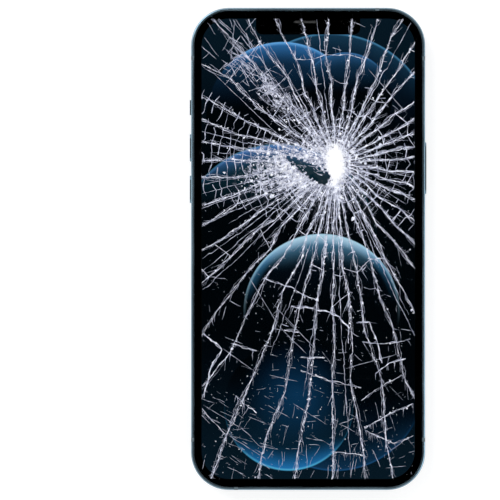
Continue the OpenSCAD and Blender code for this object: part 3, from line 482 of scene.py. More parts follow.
def strands(starts, ends, look):
    # Points spaced evenly from start to end, moved sideways by a bow and by a sway, nought at both ends
    look = {**strandLook, **look}
    starts, ends = np.asarray(starts, float), np.asarray(ends, float)
    length = np.linalg.norm(ends - starts, axis=1)
    keep = length > look["shortest"]
    starts, ends, length = starts[keep], ends[keep], length[keep]
    bow = np.broadcast_to(look["bow"], keep.shape)[keep]
    size = np.broadcast_to(look["width"], keep.shape)[keep]
    count = np.maximum(3, np.ceil(length / look["step"]).astype(int) + 1)
    strand = np.repeat(np.arange(len(starts)), count)
    first = np.repeat(np.cumsum(count) - count, count)
    share = (np.arange(len(strand)) - first) / (count[strand] - 1)
    reach = share * length[strand] + np.repeat(np.cumsum(length) - length, count)
    along = (ends - starts) / length[:, None]
    side = np.stack([-along[:, 1], along[:, 0]], 1)
    arch = np.sin(np.pi * share)
    sway = look["sway"] * waver(reach, look["swayStep"]) + look["shake"] * waver(reach, look["shakeStep"])
    if "jog" in look:
        sway += look["jog"] * jogs(reach, look["jogStep"])
    sway *= np.minimum(1, length[strand] / look["calmUnder"])
    away = sway * np.sqrt(arch) + bow[strand] * arch
    points = starts[strand] + share[:, None] * (ends - starts)[strand] + side[strand] * away[:, None]
    half = size[strand] * (1 + look["swell"] * waver(reach, look["swellStep"]))
    return points, strand, np.maximum(half * endings[look["ending"]](share), look["thinnest"])


def joinStrands(families):
    points, strand, half, used = [], [], [], 0
    for p, s, h in families:
        points.append(p)
        strand.append(s + used)
        half.append(h)
        used += s.max() + 1
    return np.concatenate(points), np.concatenate(strand), np.concatenate(half)


def clipStrands(points, strand, half):
    # Drops the points outside the lit area; a strand that leaves and comes back becomes two
    kept = visible(points) & (offChip(points) > 0)
    broken = np.r_[True, (strand[1:] != strand[:-1]) | (kept[1:] != kept[:-1])]
    strand = np.cumsum(broken)[kept]
    points, half = points[kept], half[kept]
    size = np.bincount(strand)[strand]
    return points[size > 1], strand[size > 1], half[size > 1]


def ridgeMesh(points, strand, half, base, rise):
    # A low triangular prism along each strand: one vertex to each side and one on the ridge, which
    # stands up by a share of the half width, but no more than the rise
    last = np.r_[strand[1:] != strand[:-1], True]
    first = np.r_[True, last[:-1]]
    index = np.arange(len(points))
    along = points[index + ~last] - points[index - ~first]
    along /= np.maximum(np.linalg.norm(along, axis=1), 1e-6)[:, None]
    side = np.stack([-along[:, 1], along[:, 0]], 1)
    ring = np.zeros((len(points), 3, 3))
    ring[:, 0, :2] = points + side * half[:, None]
    ring[:, 1, :2] = points
    ring[:, 2, :2] = points - side * half[:, None]
    ring[:, :, 2] = base
    ring[:, 1, 2] += np.minimum(rise, 0.35 * half)
    here = 3 * index[~last][:, None]
    a, b, c, d, e, f = (here + k for k in range(6))
    walls = np.concatenate([np.hstack(t) for t in (
        (a, b, e), (a, e, d), (b, c, f), (b, f, e), (c, a, d), (c, d, f))])
    start, end = 3 * index[first][:, None], 3 * index[last][:, None]
    caps = np.concatenate([np.hstack([start, start + 2, start + 1]), np.hstack([end, end + 1, end + 2])])
    return ring.reshape(-1, 3), np.concatenate([walls, caps])


def polar(radius, degrees):
    # A place by its distance from the impact and its bearing
    turn = np.radians(degrees)
    return impact + np.stack([radius * np.cos(turn), radius * np.sin(turn)], -1)


crushLook = {
    "low": "#666b82", "high": "#c2c7db", "spotMm": 1.4, "roughness": (0.35, 0.6), "alpha": 1.0,
    "oval": (2.6, 5.8),   # half sizes in mm of the oval of finest, whitest powder
    "fade": (0.55, 1.35),  # it ends between these shares of them
}


def makeCrushed(name, look):
    # Powdered and lifted glass along a crack: white with a cold lavender cast, dull
    material, add, place = newMaterial(name)
    spot = add("TexNoise", {"Scale": 1 / (look["spotMm"] * mm), "Detail": 3.0, "Vector": place}, "Fac")
    share = add("MapRange", {**span("From", (0.32, 0.62)), "Value": spot})
    middle = (impact[0] * mm, impact[1] * mm, 0)
    oval = add("VectorMath", {"operation": "SUBTRACT", 0: place, 1: middle})
    shrink = (1 / (look["oval"][0] * mm), 1 / (look["oval"][1] * mm), 0)
    oval = add("VectorMath", {"operation": "MULTIPLY", 0: oval, 1: shrink})
    away = add("VectorMath", {"operation": "LENGTH", 0: oval}, "Value")
    fine = add("MapRange", {**span("From", look["fade"]), **span("To", (1, 0)), "Value": away})
    worn = add("Mix", {"data_type": "RGBA", 0: share, 6: look["low"], 7: look["high"]}, 2)
    tone = add("Mix", {"data_type": "RGBA", 0: fine, 6: worn, 7: "#ffffff"}, 2)
    dull = add("MapRange", {**span("To", look["roughness"]), "Value": share})
    return endMaterial(material, {"Alpha": look["alpha"], "Specular IOR Level": 0.4, "Base Color": tone,
                                  "Roughness": dull})


crushedGlass = makeCrushed("crushedGlass", crushLook)
crackRidge = makeCrushed("crackRidge", {**crushLook, "low": "#858aa2", "high": "#e4e7f5"})
chippedGlass = makeCrushed("chippedGlass", {**crushLook, "low": "#9a9fb6", "high": "#f0f2fb"})
thinCrack = makeCrushed("hairlineCrack", {**crushLook, "high": "#cfd4e6", "alpha": 0.6})


def shardEdges(node, near):
    # Outline of the shards' upper faces: an edge that belongs to one upper triangle only
    mesh = nodes[node].data
    corners = np.empty(len(mesh.vertices) * 3, np.float32)
    mesh.vertices.foreach_get("co", corners)
    corners = corners.reshape(-1, 3) / mm
    mesh.calc_loop_triangles()
    triangles = np.empty(len(mesh.loop_triangles) * 3, np.int32)
    mesh.loop_triangles.foreach_get("vertices", triangles)
    triangles = triangles.reshape(-1, 3)
    upper = triangles[(corners[triangles][:, :, 2] > glassTop - near).all(1)]
    flat, same = np.unique(np.round(corners[:, :2], 3), axis=0, return_inverse=True)
    upper = same.reshape(-1)[upper]
    edges = np.sort(np.concatenate([upper[:, [0, 1]], upper[:, [1, 2]], upper[:, [2, 0]]]), axis=1)
    edges, count = np.unique(edges, axis=0, return_counts=True)
    edges = edges[count == 1]
    return flat[edges[:, 0]], flat[edges[:, 1]]


edgeStart, edgeEnd = shardEdges("cover_glass", 0.01)
middle = (edgeStart + edgeEnd) / 2
slotLow, slotHigh = (np.array(corner)[:2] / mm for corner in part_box("earpiece_mesh"))
clear = ~((middle > slotLow - 0.4) & (middle < slotHigh + 0.4)).all(1)  # the earpiece slot isn't a crack
edgeStart, edgeEnd, middle = edgeStart[clear], edgeEnd[clear], middle[clear]
distance = np.linalg.norm(middle - impact, axis=1)
edgeLong = np.linalg.norm(edgeEnd - edgeStart, axis=1)
outward = (middle - impact) / np.maximum(distance, 1e-6)[:, None]
edgeWay = (edgeEnd - edgeStart) / edgeLong[:, None]
radial = np.abs((outward * edgeWay).sum(1)) > 0.75  # within about 41 degrees of straight outwards
print("cracks taken from the shards:", int(radial.sum()), "radial,", int((~radial).sum()), "ring")

# Cracks along the shards' edges. A width is half the crack's, in mm
mainLook = {
    "radial": {"width": 0.1, "sway": 0.16, "shake": 0.12, "jog": 0.3, "swell": 0.75, "step": 0.4},
    "ring": {"width": 0.07, "shake": 0.1, "swell": 0.6},
    # By mm from the impact: what is left of a radial crack's width, and the share of ring edges kept
    "thinning": ([12, 38, 72, 84, 100], [1.0, 0.62, 0.36, 0.56, 0.6]),
    "ringKept": ([10, 26, 42], [0.6, 0.45, 0.16]),
}


def mainCracks(look):
    chance = np.interp(distance, *look["ringKept"])
    keepRing = ~radial & (draw.random(len(middle)) < chance)
    width = look["radial"]["width"] * np.interp(distance[radial], *look["thinning"])
    radialFamily = strands(edgeStart[radial], edgeEnd[radial], {**look["radial"], "width": width})
    ringFamily = strands(edgeStart[keepRing], edgeEnd[keepRing], look["ring"])
    return joinStrands([radialFamily, ringFamily])


twinLook = {
    "strand": {"width": 0.06, "shake": 0.12, "jog": 0.28, "swell": 0.7, "step": 0.5},
    "share": 0.8, "beyond": 9,  # share of the radial edges that have a twin, and how far out they start
    "bow": (0.35, 0.95), "fullBow": 8,  # mm aside, in full on an edge as long as the second
    # Radial cracks between the shards' own: bearings, then mm from the impact to their two ends
    "bearings": (28, 62, 77, 99, 117, 125, 168, 174, 179, 188, 193, 199, 204, 208, 214, 220, 226,
                 252, 261, 272, 294, 298, 316),
    "near": (5, 11), "far": (40, 100), "bend": 2, "turn": 1.5,  # degrees
    "inner": {"width": 0.08}, "outer": {"width": 0.055, "ending": "point"},
}


def twinCracks(look):
    # A second strand that leaves a radial crack and meets it again, on either side, and cracks of
    # two straight parts between the others
    picked = radial & (draw.random(len(middle)) < look["share"]) & (distance > look["beyond"])
    count = picked.sum()
    short = np.minimum(1, edgeLong[picked] / look["fullBow"])
    bow = draw.uniform(*look["bow"], count) * short * draw.choice([-1, 1], count)
    width = look["strand"]["width"] * np.interp(distance[picked], *mainLook["thinning"])
    loops = strands(edgeStart[picked], edgeEnd[picked], {**look["strand"], "width": width, "bow": bow})
    bearings = np.array(look["bearings"], float)
    count = len(bearings)
    near, far = draw.uniform(*look["near"], count), draw.uniform(*look["far"], count)
    bend = bearings + draw.uniform(-look["bend"], look["bend"], count)
    knee = polar((near + far) / 2, bend)
    inner = strands(polar(near, bearings), knee, {**look["strand"], **look["inner"]})
    tip = polar(far, bend + draw.uniform(-look["turn"], look["turn"], count))
    outer = strands(knee, tip, {**look["strand"], **look["outer"]})
    return joinStrands([loops, inner, outer])


fringeLook = {
    "count": 150, "sparse": (-70, 110), "kept": 0.25,  # between these bearings only a share is kept
    "near": (3.5, 13), "long": (2.0, 3.6), "shortest": 2, "turn": 2.2, "width": (0.03, 0.07),
    "strand": {"sway": 0.12, "shake": 0.1, "ending": "points"},
}


def fringeCracks(look):
    # Short radial cracks crowded round the crushed middle, their length from a gamma distribution
    low, high = look["sparse"]
    bearing = draw.uniform(high - 360, high, look["count"])
    bearing = bearing[(bearing < low) | (draw.random(look["count"]) < look["kept"])]
    count = len(bearing)
    near = draw.uniform(*look["near"], count)
    far = near + draw.gamma(*look["long"], count) + look["shortest"]
    width = draw.uniform(*look["width"], count)
    tip = polar(far, bearing + draw.normal(0, look["turn"], count))
    return strands(polar(near, bearing), tip, {**look["strand"], "width": width})


ringLook = {
    "sectors": [  # first and last bearing, radii in mm, share of the arcs kept
        (148, 246, np.arange(12, 50, 2.7), 0.92), (-50, 32, np.arange(11, 34, 3.2), 0.85),
        (32, 148, np.array([13, 19, 27, 38]), 0.3), (246, 326, np.arange(11, 62, 6.5), 0.34),
        (0, 360, np.array([8.5, 10.5, 12.5, 15]), 0.5),
    ],
    "arc": (4.5, 9.5), "fullArc": (12, 0.75),  # degrees long, and shorter on radii past 12 / 0.75 mm
    "uneven": 0.45, "width": (0.05, 0.12),
    "strand": {"sway": 0.15, "shake": 0.1, "swell": 0.6},
}


def ringCracks(look):
    # Rings of short arcs: each runs between two bearings, with its ends a little nearer or further out
    families = []
    least, share = look["fullArc"]
    for low, high, radii, kept in look["sectors"]:
        for radius in radii:
            arcs = draw.uniform(*look["arc"], int((high - low) / 5)) * least / max(least, radius * share)
            cuts = low + np.cumsum(arcs)
            cuts = cuts[cuts < high]
            if len(cuts) < 3:
                continue
            knots = polar(radius + draw.normal(0, look["uneven"], len(cuts)), cuts)
            picked = draw.random(len(cuts) - 1) < kept
            if not picked.any():
                continue
            bow = -radius * (1 - np.cos(np.radians(np.diff(cuts))[picked] / 2))
            width = draw.uniform(*look["width"], len(bow))
            families.append(strands(knots[:-1][picked], knots[1:][picked],
                                    {**look["strand"], "width": width, "bow": bow}))
    return joinStrands(families)


barbLook = {
    "every": ([20, 70, 86], [1.3, 3.2, 1.5]),  # mm between splinters, by mm from the impact
    "off": 0.12, "width": (0.035, 0.09),
    "beside": 0.6,  # share that run beside the crack: slant in degrees, length's gamma and least length
    "along": {"slant": (4, 26), "gamma": (2.0, 0.8), "least": 0.6},
    "across": {"slant": (45, 110), "gamma": (2.0, 0.25), "least": 0.3},
    "strand": {"sway": 0.1, "shake": 0.1, "ending": "spike", "step": 0.4},
}


def barbs(points, look):
    # Splinters that leave a crack: most run beside it, away from the impact, and the rest cross it
    step = np.linalg.norm(np.diff(points, axis=0, prepend=points[:1]), axis=1)
    every = np.interp(np.linalg.norm(points - impact, axis=1), *look["every"])
    start = points[draw.random(len(points)) < step / every]
    start = start + draw.normal(0, look["off"], start.shape)
    out = start - impact
    count = len(start)
    beside = draw.random(count) < look["beside"]
    kinds = look["along"], look["across"]
    slant = np.where(beside, *(draw.uniform(*kind["slant"], count) for kind in kinds))
    slant = slant * draw.choice([-1, 1], count)
    bearing = np.arctan2(out[:, 1], out[:, 0]) + np.radians(slant)
    long = np.where(beside, *(draw.gamma(*kind["gamma"], count) + kind["least"] for kind in kinds))
    end = start + long[:, None] * np.stack([np.cos(bearing), np.sin(bearing)], 1)
    return strands(start, end, {**look["strand"], "width": draw.uniform(*look["width"], count)})


band = {"from": (-3.0, 41.0), "to": (-24.0, 66.0), "spread": 3.0, "count": 135, "long": (1.5, 8.0),
        "crossing": 0.4, "turn": 13, "crossTurn": 12, "width": (0.035, 0.09)}
# Low and high corner in mm, how many cracks, their two headings in degrees, and what else is set
areas = {
    "corner": ((-35.5, 57.0), (-18.0, 76.8), 30, (-42, 48), {"long": (3.0, 14.0), "width": (0.035, 0.08)}),
    "foot": ((-35.5, -76.7), (-12.0, -47.0), 95, (-27, 66), {"first": 0.75}),
    "footRight": ((8.0, -76.7), (35.5, -48.0), 46, (-80, 15), {"first": 0.55}),
    "dashes": ((-17.0, -62.0), (12.0, -26.0), 70, (-8, 80), {"long": (0.4, 4.0), "first": 0.8}),
    "tangle": ((-13.0, -76.7), (17.0, -54.0), 48, (80, -22), {"long": (0.8, 9.0), "first": 0.72}),
    "scratches": ((-35.5, -47.0), (35.5, 2.0), 60, (-33, -85), {}),
    "slivers": ((-3.0, 24.8), (4.5, 28.6), 16, (-38, -20),
                {"long": (0.8, 4.0), "first": 0.6, "width": (0.05, 0.12)}),
}
# What an area doesn't set itself: shortest and longest crack, half widths, the share of cracks that
# take the first of its two headings, and how far they turn from it in degrees
areaLook = {"long": (0.5, 7.0), "width": (0.025, 0.075), "first": 0.5, "turn": 12}


def scatter(middles, bearing, long, width):
    # Short cracks about given middles
    turn = np.radians(bearing)
    reach = long[:, None] / 2 * np.stack([np.cos(turn), np.sin(turn)], 1)
    return strands(middles - reach, middles + reach, {"width": width, "sway": 0.25, "ending": "points"})


def bandCracks(band):
    # Along a line and spread to its sides: most run along it, and the others cross it
    start, end = np.array(band["from"]), np.array(band["to"])
    lie = (end - start) / np.linalg.norm(end - start)
    heading, count = np.degrees(np.arctan2(lie[1], lie[0])), band["count"]
    middles = start + draw.random((count, 1)) * (end - start)
    middles = middles + draw.normal(0, band["spread"], (count, 1)) * np.array([-lie[1], lie[0]])
    crossing = draw.random(count) < band["crossing"]
    bearing = heading + draw.normal(0, band["turn"], count)
    bearing = bearing + crossing * (90 + draw.normal(0, band["crossTurn"], count))
    long = draw.uniform(*band["long"], count)
    return scatter(middles, bearing, long, draw.uniform(*band["width"], count))


def areaCracks(low, high, count, headings, more):
    # Most cracks of an area are short: the length grows with the square of a random number
    look = {**areaLook, **more}
    short, long = look["long"]
    middles = draw.uniform(low, high, (count, 2))
    bearing = np.where(draw.random(count) < look["first"], *headings)
    bearing = bearing + draw.normal(0, look["turn"], count)
    long = short + (long - short) * draw.random(count) ** 2
    return scatter(middles, bearing, long, draw.uniform(*look["width"], count))


splits = [  # single cracks that cross the radial ones low on the screen: width, then points in mm
    (0.20, [(-5.6, -19.0), (1.0, -19.7), (6.6, -20.9), (10.3, -22.5), (13.5, -26.2), (13.4, -31.5)]),
    (0.18, [(16.1, -24.6), (20.4, -24.3), (22.8, -30.4), (24.6, -38.0)]),
    (0.16, [(-15.1, -9.8), (-5.0, -13.0), (-0.8, -16.1)]),
    (0.20, [(-34.7, -28.3), (-28.8, -33.6), (-32.5, -39.9), (-34.7, -49.5)]),
    (0.15, [(-25.1, -31.7), (-17.2, -33.9)]),
    (0.14, [(-2.4, -40.5), (6.6, -43.9), (17.7, -46.3)]),
    (0.11, [(31.5, -42.0), (24.1, -46.3), (17.7, -50.5)]),
    (0.12, [(18.8, -60.0), (24.6, -56.3), (34.9, -51.6)]),
    (0.12, [(19.3, -60.6), (28.3, -64.8), (35.0, -62.2)]),
    (0.12, [(-24.1, -48.9), (-17.2, -54.7)]),
    (0.12, [(-2.4, -36.0), (5.5, -36.2)]),
    (0.12, [(-8.0, -27.0), (-3.2, -27.8)]),
    (0.18, [(22.5, -41.5), (27.0, -38.0), (32.5, -36.6)]),
    (0.13, [(18.0, -31.0), (25.5, -31.6), (34.0, -30.0)]),
]
hairlines = [
    (0.07, line) for line in (
        [(-19.8, -9.2), (-9.8, -25.7)], [(-28.6, -33.1), (-18.3, -40.5)], [(-13.0, -42.0), (-3.4, -44.2)],
        [(-13.5, -52.1), (-6.1, -56.3)], [(-5.0, -51.6), (6.1, -58.5)], [(-9.8, -25.7), (-0.5, -35.0)],
        [(-35.0, -52.0), (-22.0, -60.0)], [(-30.0, -60.0), (-14.0, -70.0)], [(-12.0, -18.0), (2.0, -33.0)],
        [(12.0, -40.0), (30.0, -35.0)], [(-33.0, 60.0), (-10.0, 38.0)], [(-18.0, 74.0), (-12.0, 52.0)],
        [(20.0, 60.0), (33.0, 45.0)], [(14.0, 76.0), (19.0, 74.0)])
]
splitLook = {"sway": 0.42, "shake": 0.2, "swell": 0.85, "step": 0.35}
hairLook = {"sway": 0.1, "shake": 0.03, "ending": "points"}


def paths(lines, share, look):
    # Strands through given points; the share is of the given width
    starts = np.array([p for _, line in lines for p in line[:-1]])
    ends = np.array([p for _, line in lines for p in line[1:]])
    width = np.array([share * width for width, line in lines for _ in line[:-1]])
    return strands(starts, ends, {**look, "width": width})


mainFamily = clipStrands(*mainCracks(mainLook))
twinFamily = clipStrands(*twinCracks(twinLook))
fringeFamily = clipStrands(*fringeCracks(fringeLook))
ringFamily = clipStrands(*ringCracks(ringLook))
splitFamily = clipStrands(*paths(splits, 0.65, splitLook))
splitTwins = clipStrands(*paths(splits, 0.35, splitLook))
ridgeFamily = joinStrands([mainFamily, splitFamily])
barbFamily = clipStrands(*barbs(ridgeFamily[0], barbLook))
bandFamily = bandCracks(band)
corner, *faint, slivers = [areaCracks(*area) for area in areas.values()]
fieldFamily = clipStrands(*joinStrands([bandFamily, corner]))
hairFamily = clipStrands(*joinStrands([paths(hairlines, 1, hairLook), *faint]))

for name, family, height, material in (  # height of a crack's underside above the glass, in mm
    ("mainCracks", ridgeFamily, 0.012, crackRidge),
    ("twinCracks", joinStrands([twinFamily, splitTwins]), 0.011, crushedGlass),
    ("fringeCracks", fringeFamily, 0.010, crushedGlass),
    ("ringCracks", ringFamily, 0.009, crushedGlass),
    ("crackBarbs", barbFamily, 0.013, crushedGlass),
    ("fieldCracks", fieldFamily, 0.010, crushedGlass),
    ("hairlineCracks", joinStrands([hairFamily, slivers]), 0.008, thinCrack),
):
    points, faces = ridgeMesh(*family, glassTop + height, 0.07)
    newPiece(name, points, faces, material, "cracked_glass")

chips = {  # chips of glass that still stick: how many, how far they spread, and their sizes, all in mm
    "groups": {
        "core": {"count": 230, "spread": (5.0, 6.5), "gamma": (3, 0.12), "least": 0.1},
        "knots": {"count": 900, "spread": 0.25, "gamma": (2.5, 0.07), "least": 0.07},
        "band": {"count": 80, "spread": 2.4, "gamma": (2.5, 0.075), "least": 0.08},
        "left": {"count": 220, "spread": (8.5, 5.0), "gamma": (3, 0.1), "least": 0.1},
        "specks": {"count": 380, "gamma": (1.5, 0.05), "least": 0.05},
    },
    "bandShare": 0.65, "leftAt": (-6.0, 27.0), "specksUp": 0.2,
    "corners": 5, "uneven": 0.3, "reach": (0.45, 1.0), "lean": 0.2, "rise": (0.03, 0.1),
    "under": 0.01, "clear": 0.3,
}


def glassChips(look):
    # Low pyramids: uneven corners on a circle, and a top that is a little off its middle
    groups, cracks = look["groups"], ridgeFamily[0]
    counts = {name: group["count"] for name, group in groups.items()}

    def about(middle, name):
        return middle + draw.normal(0, 1, (counts[name], 2)) * groups[name]["spread"]

    core = about(impact, "core")
    knots = about(cracks[draw.integers(0, len(cracks), counts["knots"])], "knots")
    along = look["bandShare"] * draw.random((counts["band"], 1))
    start, end = np.array(band["from"]), np.array(band["to"])
    beside = about(start * (1 - along) + end * along, "band")
    left = about(look["leftAt"], "left")
    specks = draw.uniform(panelLow, panelHigh * [1, look["specksUp"]], (counts["specks"], 2))
    middles = np.concatenate([core, knots, beside, left, specks])
    size = np.concatenate([draw.gamma(*group["gamma"], group["count"]) + group["least"]
                           for group in groups.values()])
    kept = visible(middles) & (offChip(middles) > look["clear"])
    middles, size = middles[kept], size[kept, None]
    count, corners, uneven = len(middles), look["corners"], look["uneven"]
    turn = draw.uniform(0, 2 * np.pi, (count, 1))
    places = np.arange(corners) + draw.uniform(-uneven, uneven, (count, corners))
    turn = turn + places * 2 * np.pi / corners
    reach = size * draw.uniform(*look["reach"], (count, corners))
    high = np.full((count, corners + 1), glassTop + look["under"])
    high[:, corners] += draw.uniform(*look["rise"], count)
    flat = []
    for axis, way in enumerate((np.cos(turn), np.sin(turn))):
        top = look["lean"] * size * draw.normal(0, 1, (count, 1))
        flat.append(np.hstack([reach * way, top]) + middles[:, axis:axis + 1])
    sides = [(k, (k + 1) % corners, corners) for k in range(corners)]
    faces = np.array(sides + [(0, k + 1, k) for k in range(1, corners - 1)])
    points = np.stack([*flat, high], 2).reshape(-1, 3)
    return points, (faces[None] + (corners + 1) * np.arange(count)[:, None, None]).reshape(-1, 3)


newPiece("glassChips", *glassChips(chips), chippedGlass, "cracked_glass")

# The crushed zone is a film of powdered glass; how thick it lies is an attribute of its vertices
crush = {
    "pitch": 0.6, "heights": (0.003, 0.006),  # mm: the grid, and the film's two faces above the glass
    "patches": [  # middle, half sizes, turn in degrees, strength
        ((9.2, 28.2), (3.1, 6.4), 0, 1.8), ((8.0, 28.5), (6.4, 8.5), 0, 0.17),
        ((-5.4, 24.8), (9.8, 6.6), -4, 0.68), ((-10.0, 30.5), (9.0, 4.8), -18, 0.26),
        ((-19.0, 25.0), (6.5, 7.0), 0, 0.14), ((14.0, 24.5), (4.0, 5.0), 0, 0.08),
        ((1.0, 39.0), (5.0, 6.5), 25, 0.22), ((2.0, 32.0), (6.0, 3.5), 0, 0.22),
        ((-12.0, 52.0), (3.6, 8.0), 38, 0.36), ((9.0, 17.5), (8.0, 4.0), 0, 0.1),
    ],
    "strandHaze": 0.22, "strandMost": 1.2,  # powder beside a crack: strength, and the most that counts
    "strandFade": ([14, 34, 60], [1.0, 0.7, 0.3]), "spread": (1, 3, 5, 3, 1), "most": 1.5,
    # The cells' heights and what the noise adds; the sums of height and thickness between which the
    # powder appears and turns white; and the thicknesses between which it stays see-through
    "cellMm": 0.75, "fineMm": 0.5, "cellHeights": (0.12, 0.88), "fineLift": (-0.25, 0.25),
    "appears": (0.85, 1.35), "whitens": (0.7, 2.0), "sheer": (0.02, 0.25), "cover": 0.9,
    "thin": "#8289ad", "thick": "#ffffff",
}


def crushField(grid, look):
    # The sum of the patches, each exp(-(u squared + v squared)) in its own turned and scaled axes
    total = np.zeros(len(grid))
    for middle, half, degrees, strength in look["patches"]:
        turn = np.radians(degrees)
        offset = grid - np.array(middle)
        u = (offset[:, 0] * np.cos(turn) + offset[:, 1] * np.sin(turn)) / half[0]
        v = (-offset[:, 0] * np.sin(turn) + offset[:, 1] * np.cos(turn)) / half[1]
        total += strength * np.exp(-(u * u + v * v))
    return total


def crushFilm(look, families):
    # A grid of squares over the lit area, two layers thick and walled at its edge
    pitch = look["pitch"]
    across, up = (np.arange(low, high + pitch, pitch) for low, high in zip(panelLow, panelHigh))
    across[-1], up[-1] = panelHigh
    gx, gy = np.meshgrid(across, up, indexing="ij")
    grid = np.stack([gx.ravel(), gy.ravel()], 1)
    lines = np.zeros(gx.shape)
    for (points, _, half), weight in families:
        cell = np.clip(((points - panelLow) / pitch).round().astype(int), 0, np.array(gx.shape) - 1)
        np.add.at(lines, (cell[:, 0], cell[:, 1]), half * weight)
    kernel = np.array(look["spread"]) / sum(look["spread"])
    for axis in (0, 1):  # spreads the powder a little to both sides of each crack
        lines = np.apply_along_axis(np.convolve, axis, lines, kernel, "same")
    fade = np.interp(np.linalg.norm(grid - impact, axis=1), *look["strandFade"])
    beside = look["strandHaze"] * fade * np.minimum(lines.ravel(), look["strandMost"])
    haze = crushField(grid, look) + beside
    haze *= np.clip((offChip(grid) + 0.3) / 0.6, 0, 1)  # none where glass fell out
    i, j = np.meshgrid(np.arange(len(across) - 1), np.arange(len(up) - 1), indexing="ij")
    corner = (i * len(up) + j).ravel()
    quads = np.stack([corner, corner + len(up), corner + len(up) + 1, corner + 1], 1)
    quads = quads[visible(grid[quads].mean(1))]
    forth = np.concatenate([quads[:, [k, (k + 1) % 4]] for k in range(4)])
    # An edge that no square runs back along is on the rim
    rim = forth[~np.isin(forth @ [len(grid), 1], forth[:, ::-1] @ [len(grid), 1])]
    walls = np.stack([rim[:, 0], rim[:, 0] + len(grid), rim[:, 1] + len(grid), rim[:, 1]], 1)
    faces = np.concatenate([quads, quads[:, ::-1] + len(grid), walls])
    points = np.concatenate([np.column_stack([grid, np.full(len(grid), glassTop + height)])
                             for height in reversed(look["heights"])])
    used, faces = np.unique(faces, return_inverse=True)
    haze = np.clip(np.tile(haze, 2)[used], 0, look["most"])
    return points[used], faces.reshape(-1, 4), haze


def makeFilm(look):
    # The powder's cover is a patchwork of cells: a cell shows where its random height and the film's
    # thickness pass a limit together
    material, add, place = newMaterial("powderedGlass")
    haze = add("Attribute", {"attribute_name": "haze"}, "Fac")
    cell = add("TexVoronoi", {"Scale": 1 / (look["cellMm"] * mm), "Vector": place}, "Color")
    cell = add("SeparateXYZ", {0: cell}, "X")
    fine = add("TexNoise", {"Scale": 1 / (look["fineMm"] * mm), "Detail": 3.0, "Vector": place}, "Fac")
    fine = add("MapRange", {**span("From", (0.3, 0.7)), **span("To", look["fineLift"]), "Value": fine})
    height = add("MapRange", {**span("To", look["cellHeights"]), "Value": cell})
    height = add("Math", {"operation": "ADD", 0: height, 1: fine})
    cover = add("Math", {"operation": "ADD", 0: haze, 1: height})
    shown = add("MapRange", {**span("From", look["appears"]), "Value": cover})
    thin = add("MapRange", {**span("From", look["sheer"]), "To Max": look["cover"], "Value": haze})
    alpha = add("Math", {"operation": "MULTIPLY", 0: shown, 1: thin})
    white = add("MapRange", {**span("From", look["whitens"]), "Value": cover})
    colour = add("Mix", {"data_type": "RGBA", 6: look["thin"], 7: look["thick"], 0: white}, 2)
    return endMaterial(material, {"Roughness": 0.6, "Specular IOR Level": 0.3, "Alpha": alpha,
                                  "Base Color": colour})


points, faces, haze = crushFilm(crush, [(mainFamily, 3.0), (splitFamily, 3.0), (twinFamily, 3.0),
                                        (fringeFamily, 2.0), (fieldFamily, 2.0), (ringFamily, 2.0)])
film = newPiece("crushedFilm", points, faces, makeFilm(crush), "cracked_glass")
film.data.attributes.new("haze", "FLOAT", "POINT").data.foreach_set("value", haze.astype(np.float32))
print("cracks and crushed glass made")


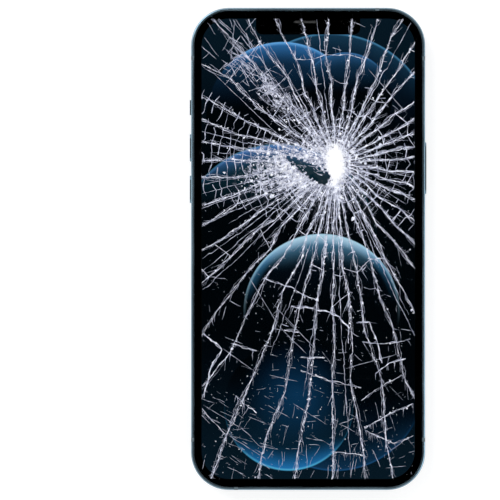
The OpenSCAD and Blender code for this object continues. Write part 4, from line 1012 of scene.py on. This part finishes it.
def turned(profile, middle, around):
    # A profile of radius and height turned about an upright axis; points that meet are welded
    turn = np.linspace(0, 2 * np.pi, around, endpoint=False)
    profile = np.asarray(profile, float)
    radius, height = profile[:, :1], profile[:, 1:]
    points = np.stack([middle[0] + radius * np.cos(turn), middle[1] + radius * np.sin(turn),
                       height + 0 * turn], 2)
    i, j = np.meshgrid(np.arange(len(profile)), np.arange(around), indexing="ij")
    here, after = i.ravel() * around, ((i + 1) % len(profile)).ravel() * around
    this, following = j.ravel(), ((j + 1) % around).ravel()
    quads = np.stack([here + this, here + following, after + following, after + this], 1)
    flat, same = np.unique(np.round(points.reshape(-1, 3), 4), axis=0, return_inverse=True)
    triangles = same.reshape(-1)[np.concatenate([quads[:, [0, 1, 2]], quads[:, [0, 2, 3]]])]
    return flat, triangles[(triangles != np.roll(triangles, 1, axis=1)).all(1)]


lensLook = {  # inside a camera: radius and height above the floor in mm
    "baffle": [(1.7, 0.94), (1.7, 1.1), (5.3, 1.1), (5.3, 0.94), (4.6, 0.94), (4.5, 0.99), (3.9, 0.99),
               (3.8, 0.94), (3.3, 0.94), (3.2, 1.02), (2.6, 1.02), (2.5, 0.95), (2.0, 0.95)],
    "elementR": 1.72, "elementLow": 0.945, "elementHigh": 1.1, "bulge": 0.1,
    "middle": "#1d4fa0", "edge": "#3d2468", "driftMm": 1.4, "drift": 0.25,
    # Black-anodised turned baffle: fine concentric steps
    "black": ("anodisedBaffle", "#060607", "#15161a", 1.0, 0.2, (0.35, 0.5), 0.2, {}),
}


def makeElement(look):
    # Multicoated lens element: deep blue-green that turns violet towards its rim
    material, add, place = newMaterial("coatedElement")
    slant = add("LayerWeight", {"Blend": 0.35}, "Facing")
    drift = add("TexNoise", {"Scale": 1 / (look["driftMm"] * mm), "Detail": 1.0,
                             "Vector": place}, "Fac")
    share = add("Math", {"operation": "MULTIPLY_ADD", "use_clamp": True, 0: drift, 1: look["drift"],
                         2: slant})
    colour = add("Mix", {"data_type": "RGBA", 0: share, 6: look["middle"], 7: look["edge"]}, 2)
    return endMaterial(material, {"Roughness": 0.04, "Coat Weight": 1.0, "Coat Roughness": 0.02,
                                  "Base Color": colour})


baffleBlack = paint(*lensLook["black"])
coatedElement = makeElement(lensLook)
share = np.linspace(0, 1, 12)
edgeR, low, high = lensLook["elementR"], lensLook["elementLow"], lensLook["elementHigh"]
dome = np.column_stack([edgeR * share, low + lensLook["bulge"] * share ** 2])
element = np.concatenate([dome, [(edgeR, high), (0, high)]])
for lens in ("wide", "ultrawide", "telephoto"):
    low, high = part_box(lens + "_lens_cover")
    middle = ((low + high) / 2 / mm)[:2]
    newPiece(lens + "Baffle", *turned(lensLook["baffle"], middle, 72), baffleBlack, "black_plastic")
    newPiece(lens + "Element", *turned(element, middle, 48), coatedElement, "lens_glass", smooth=True)
print("lenses made")
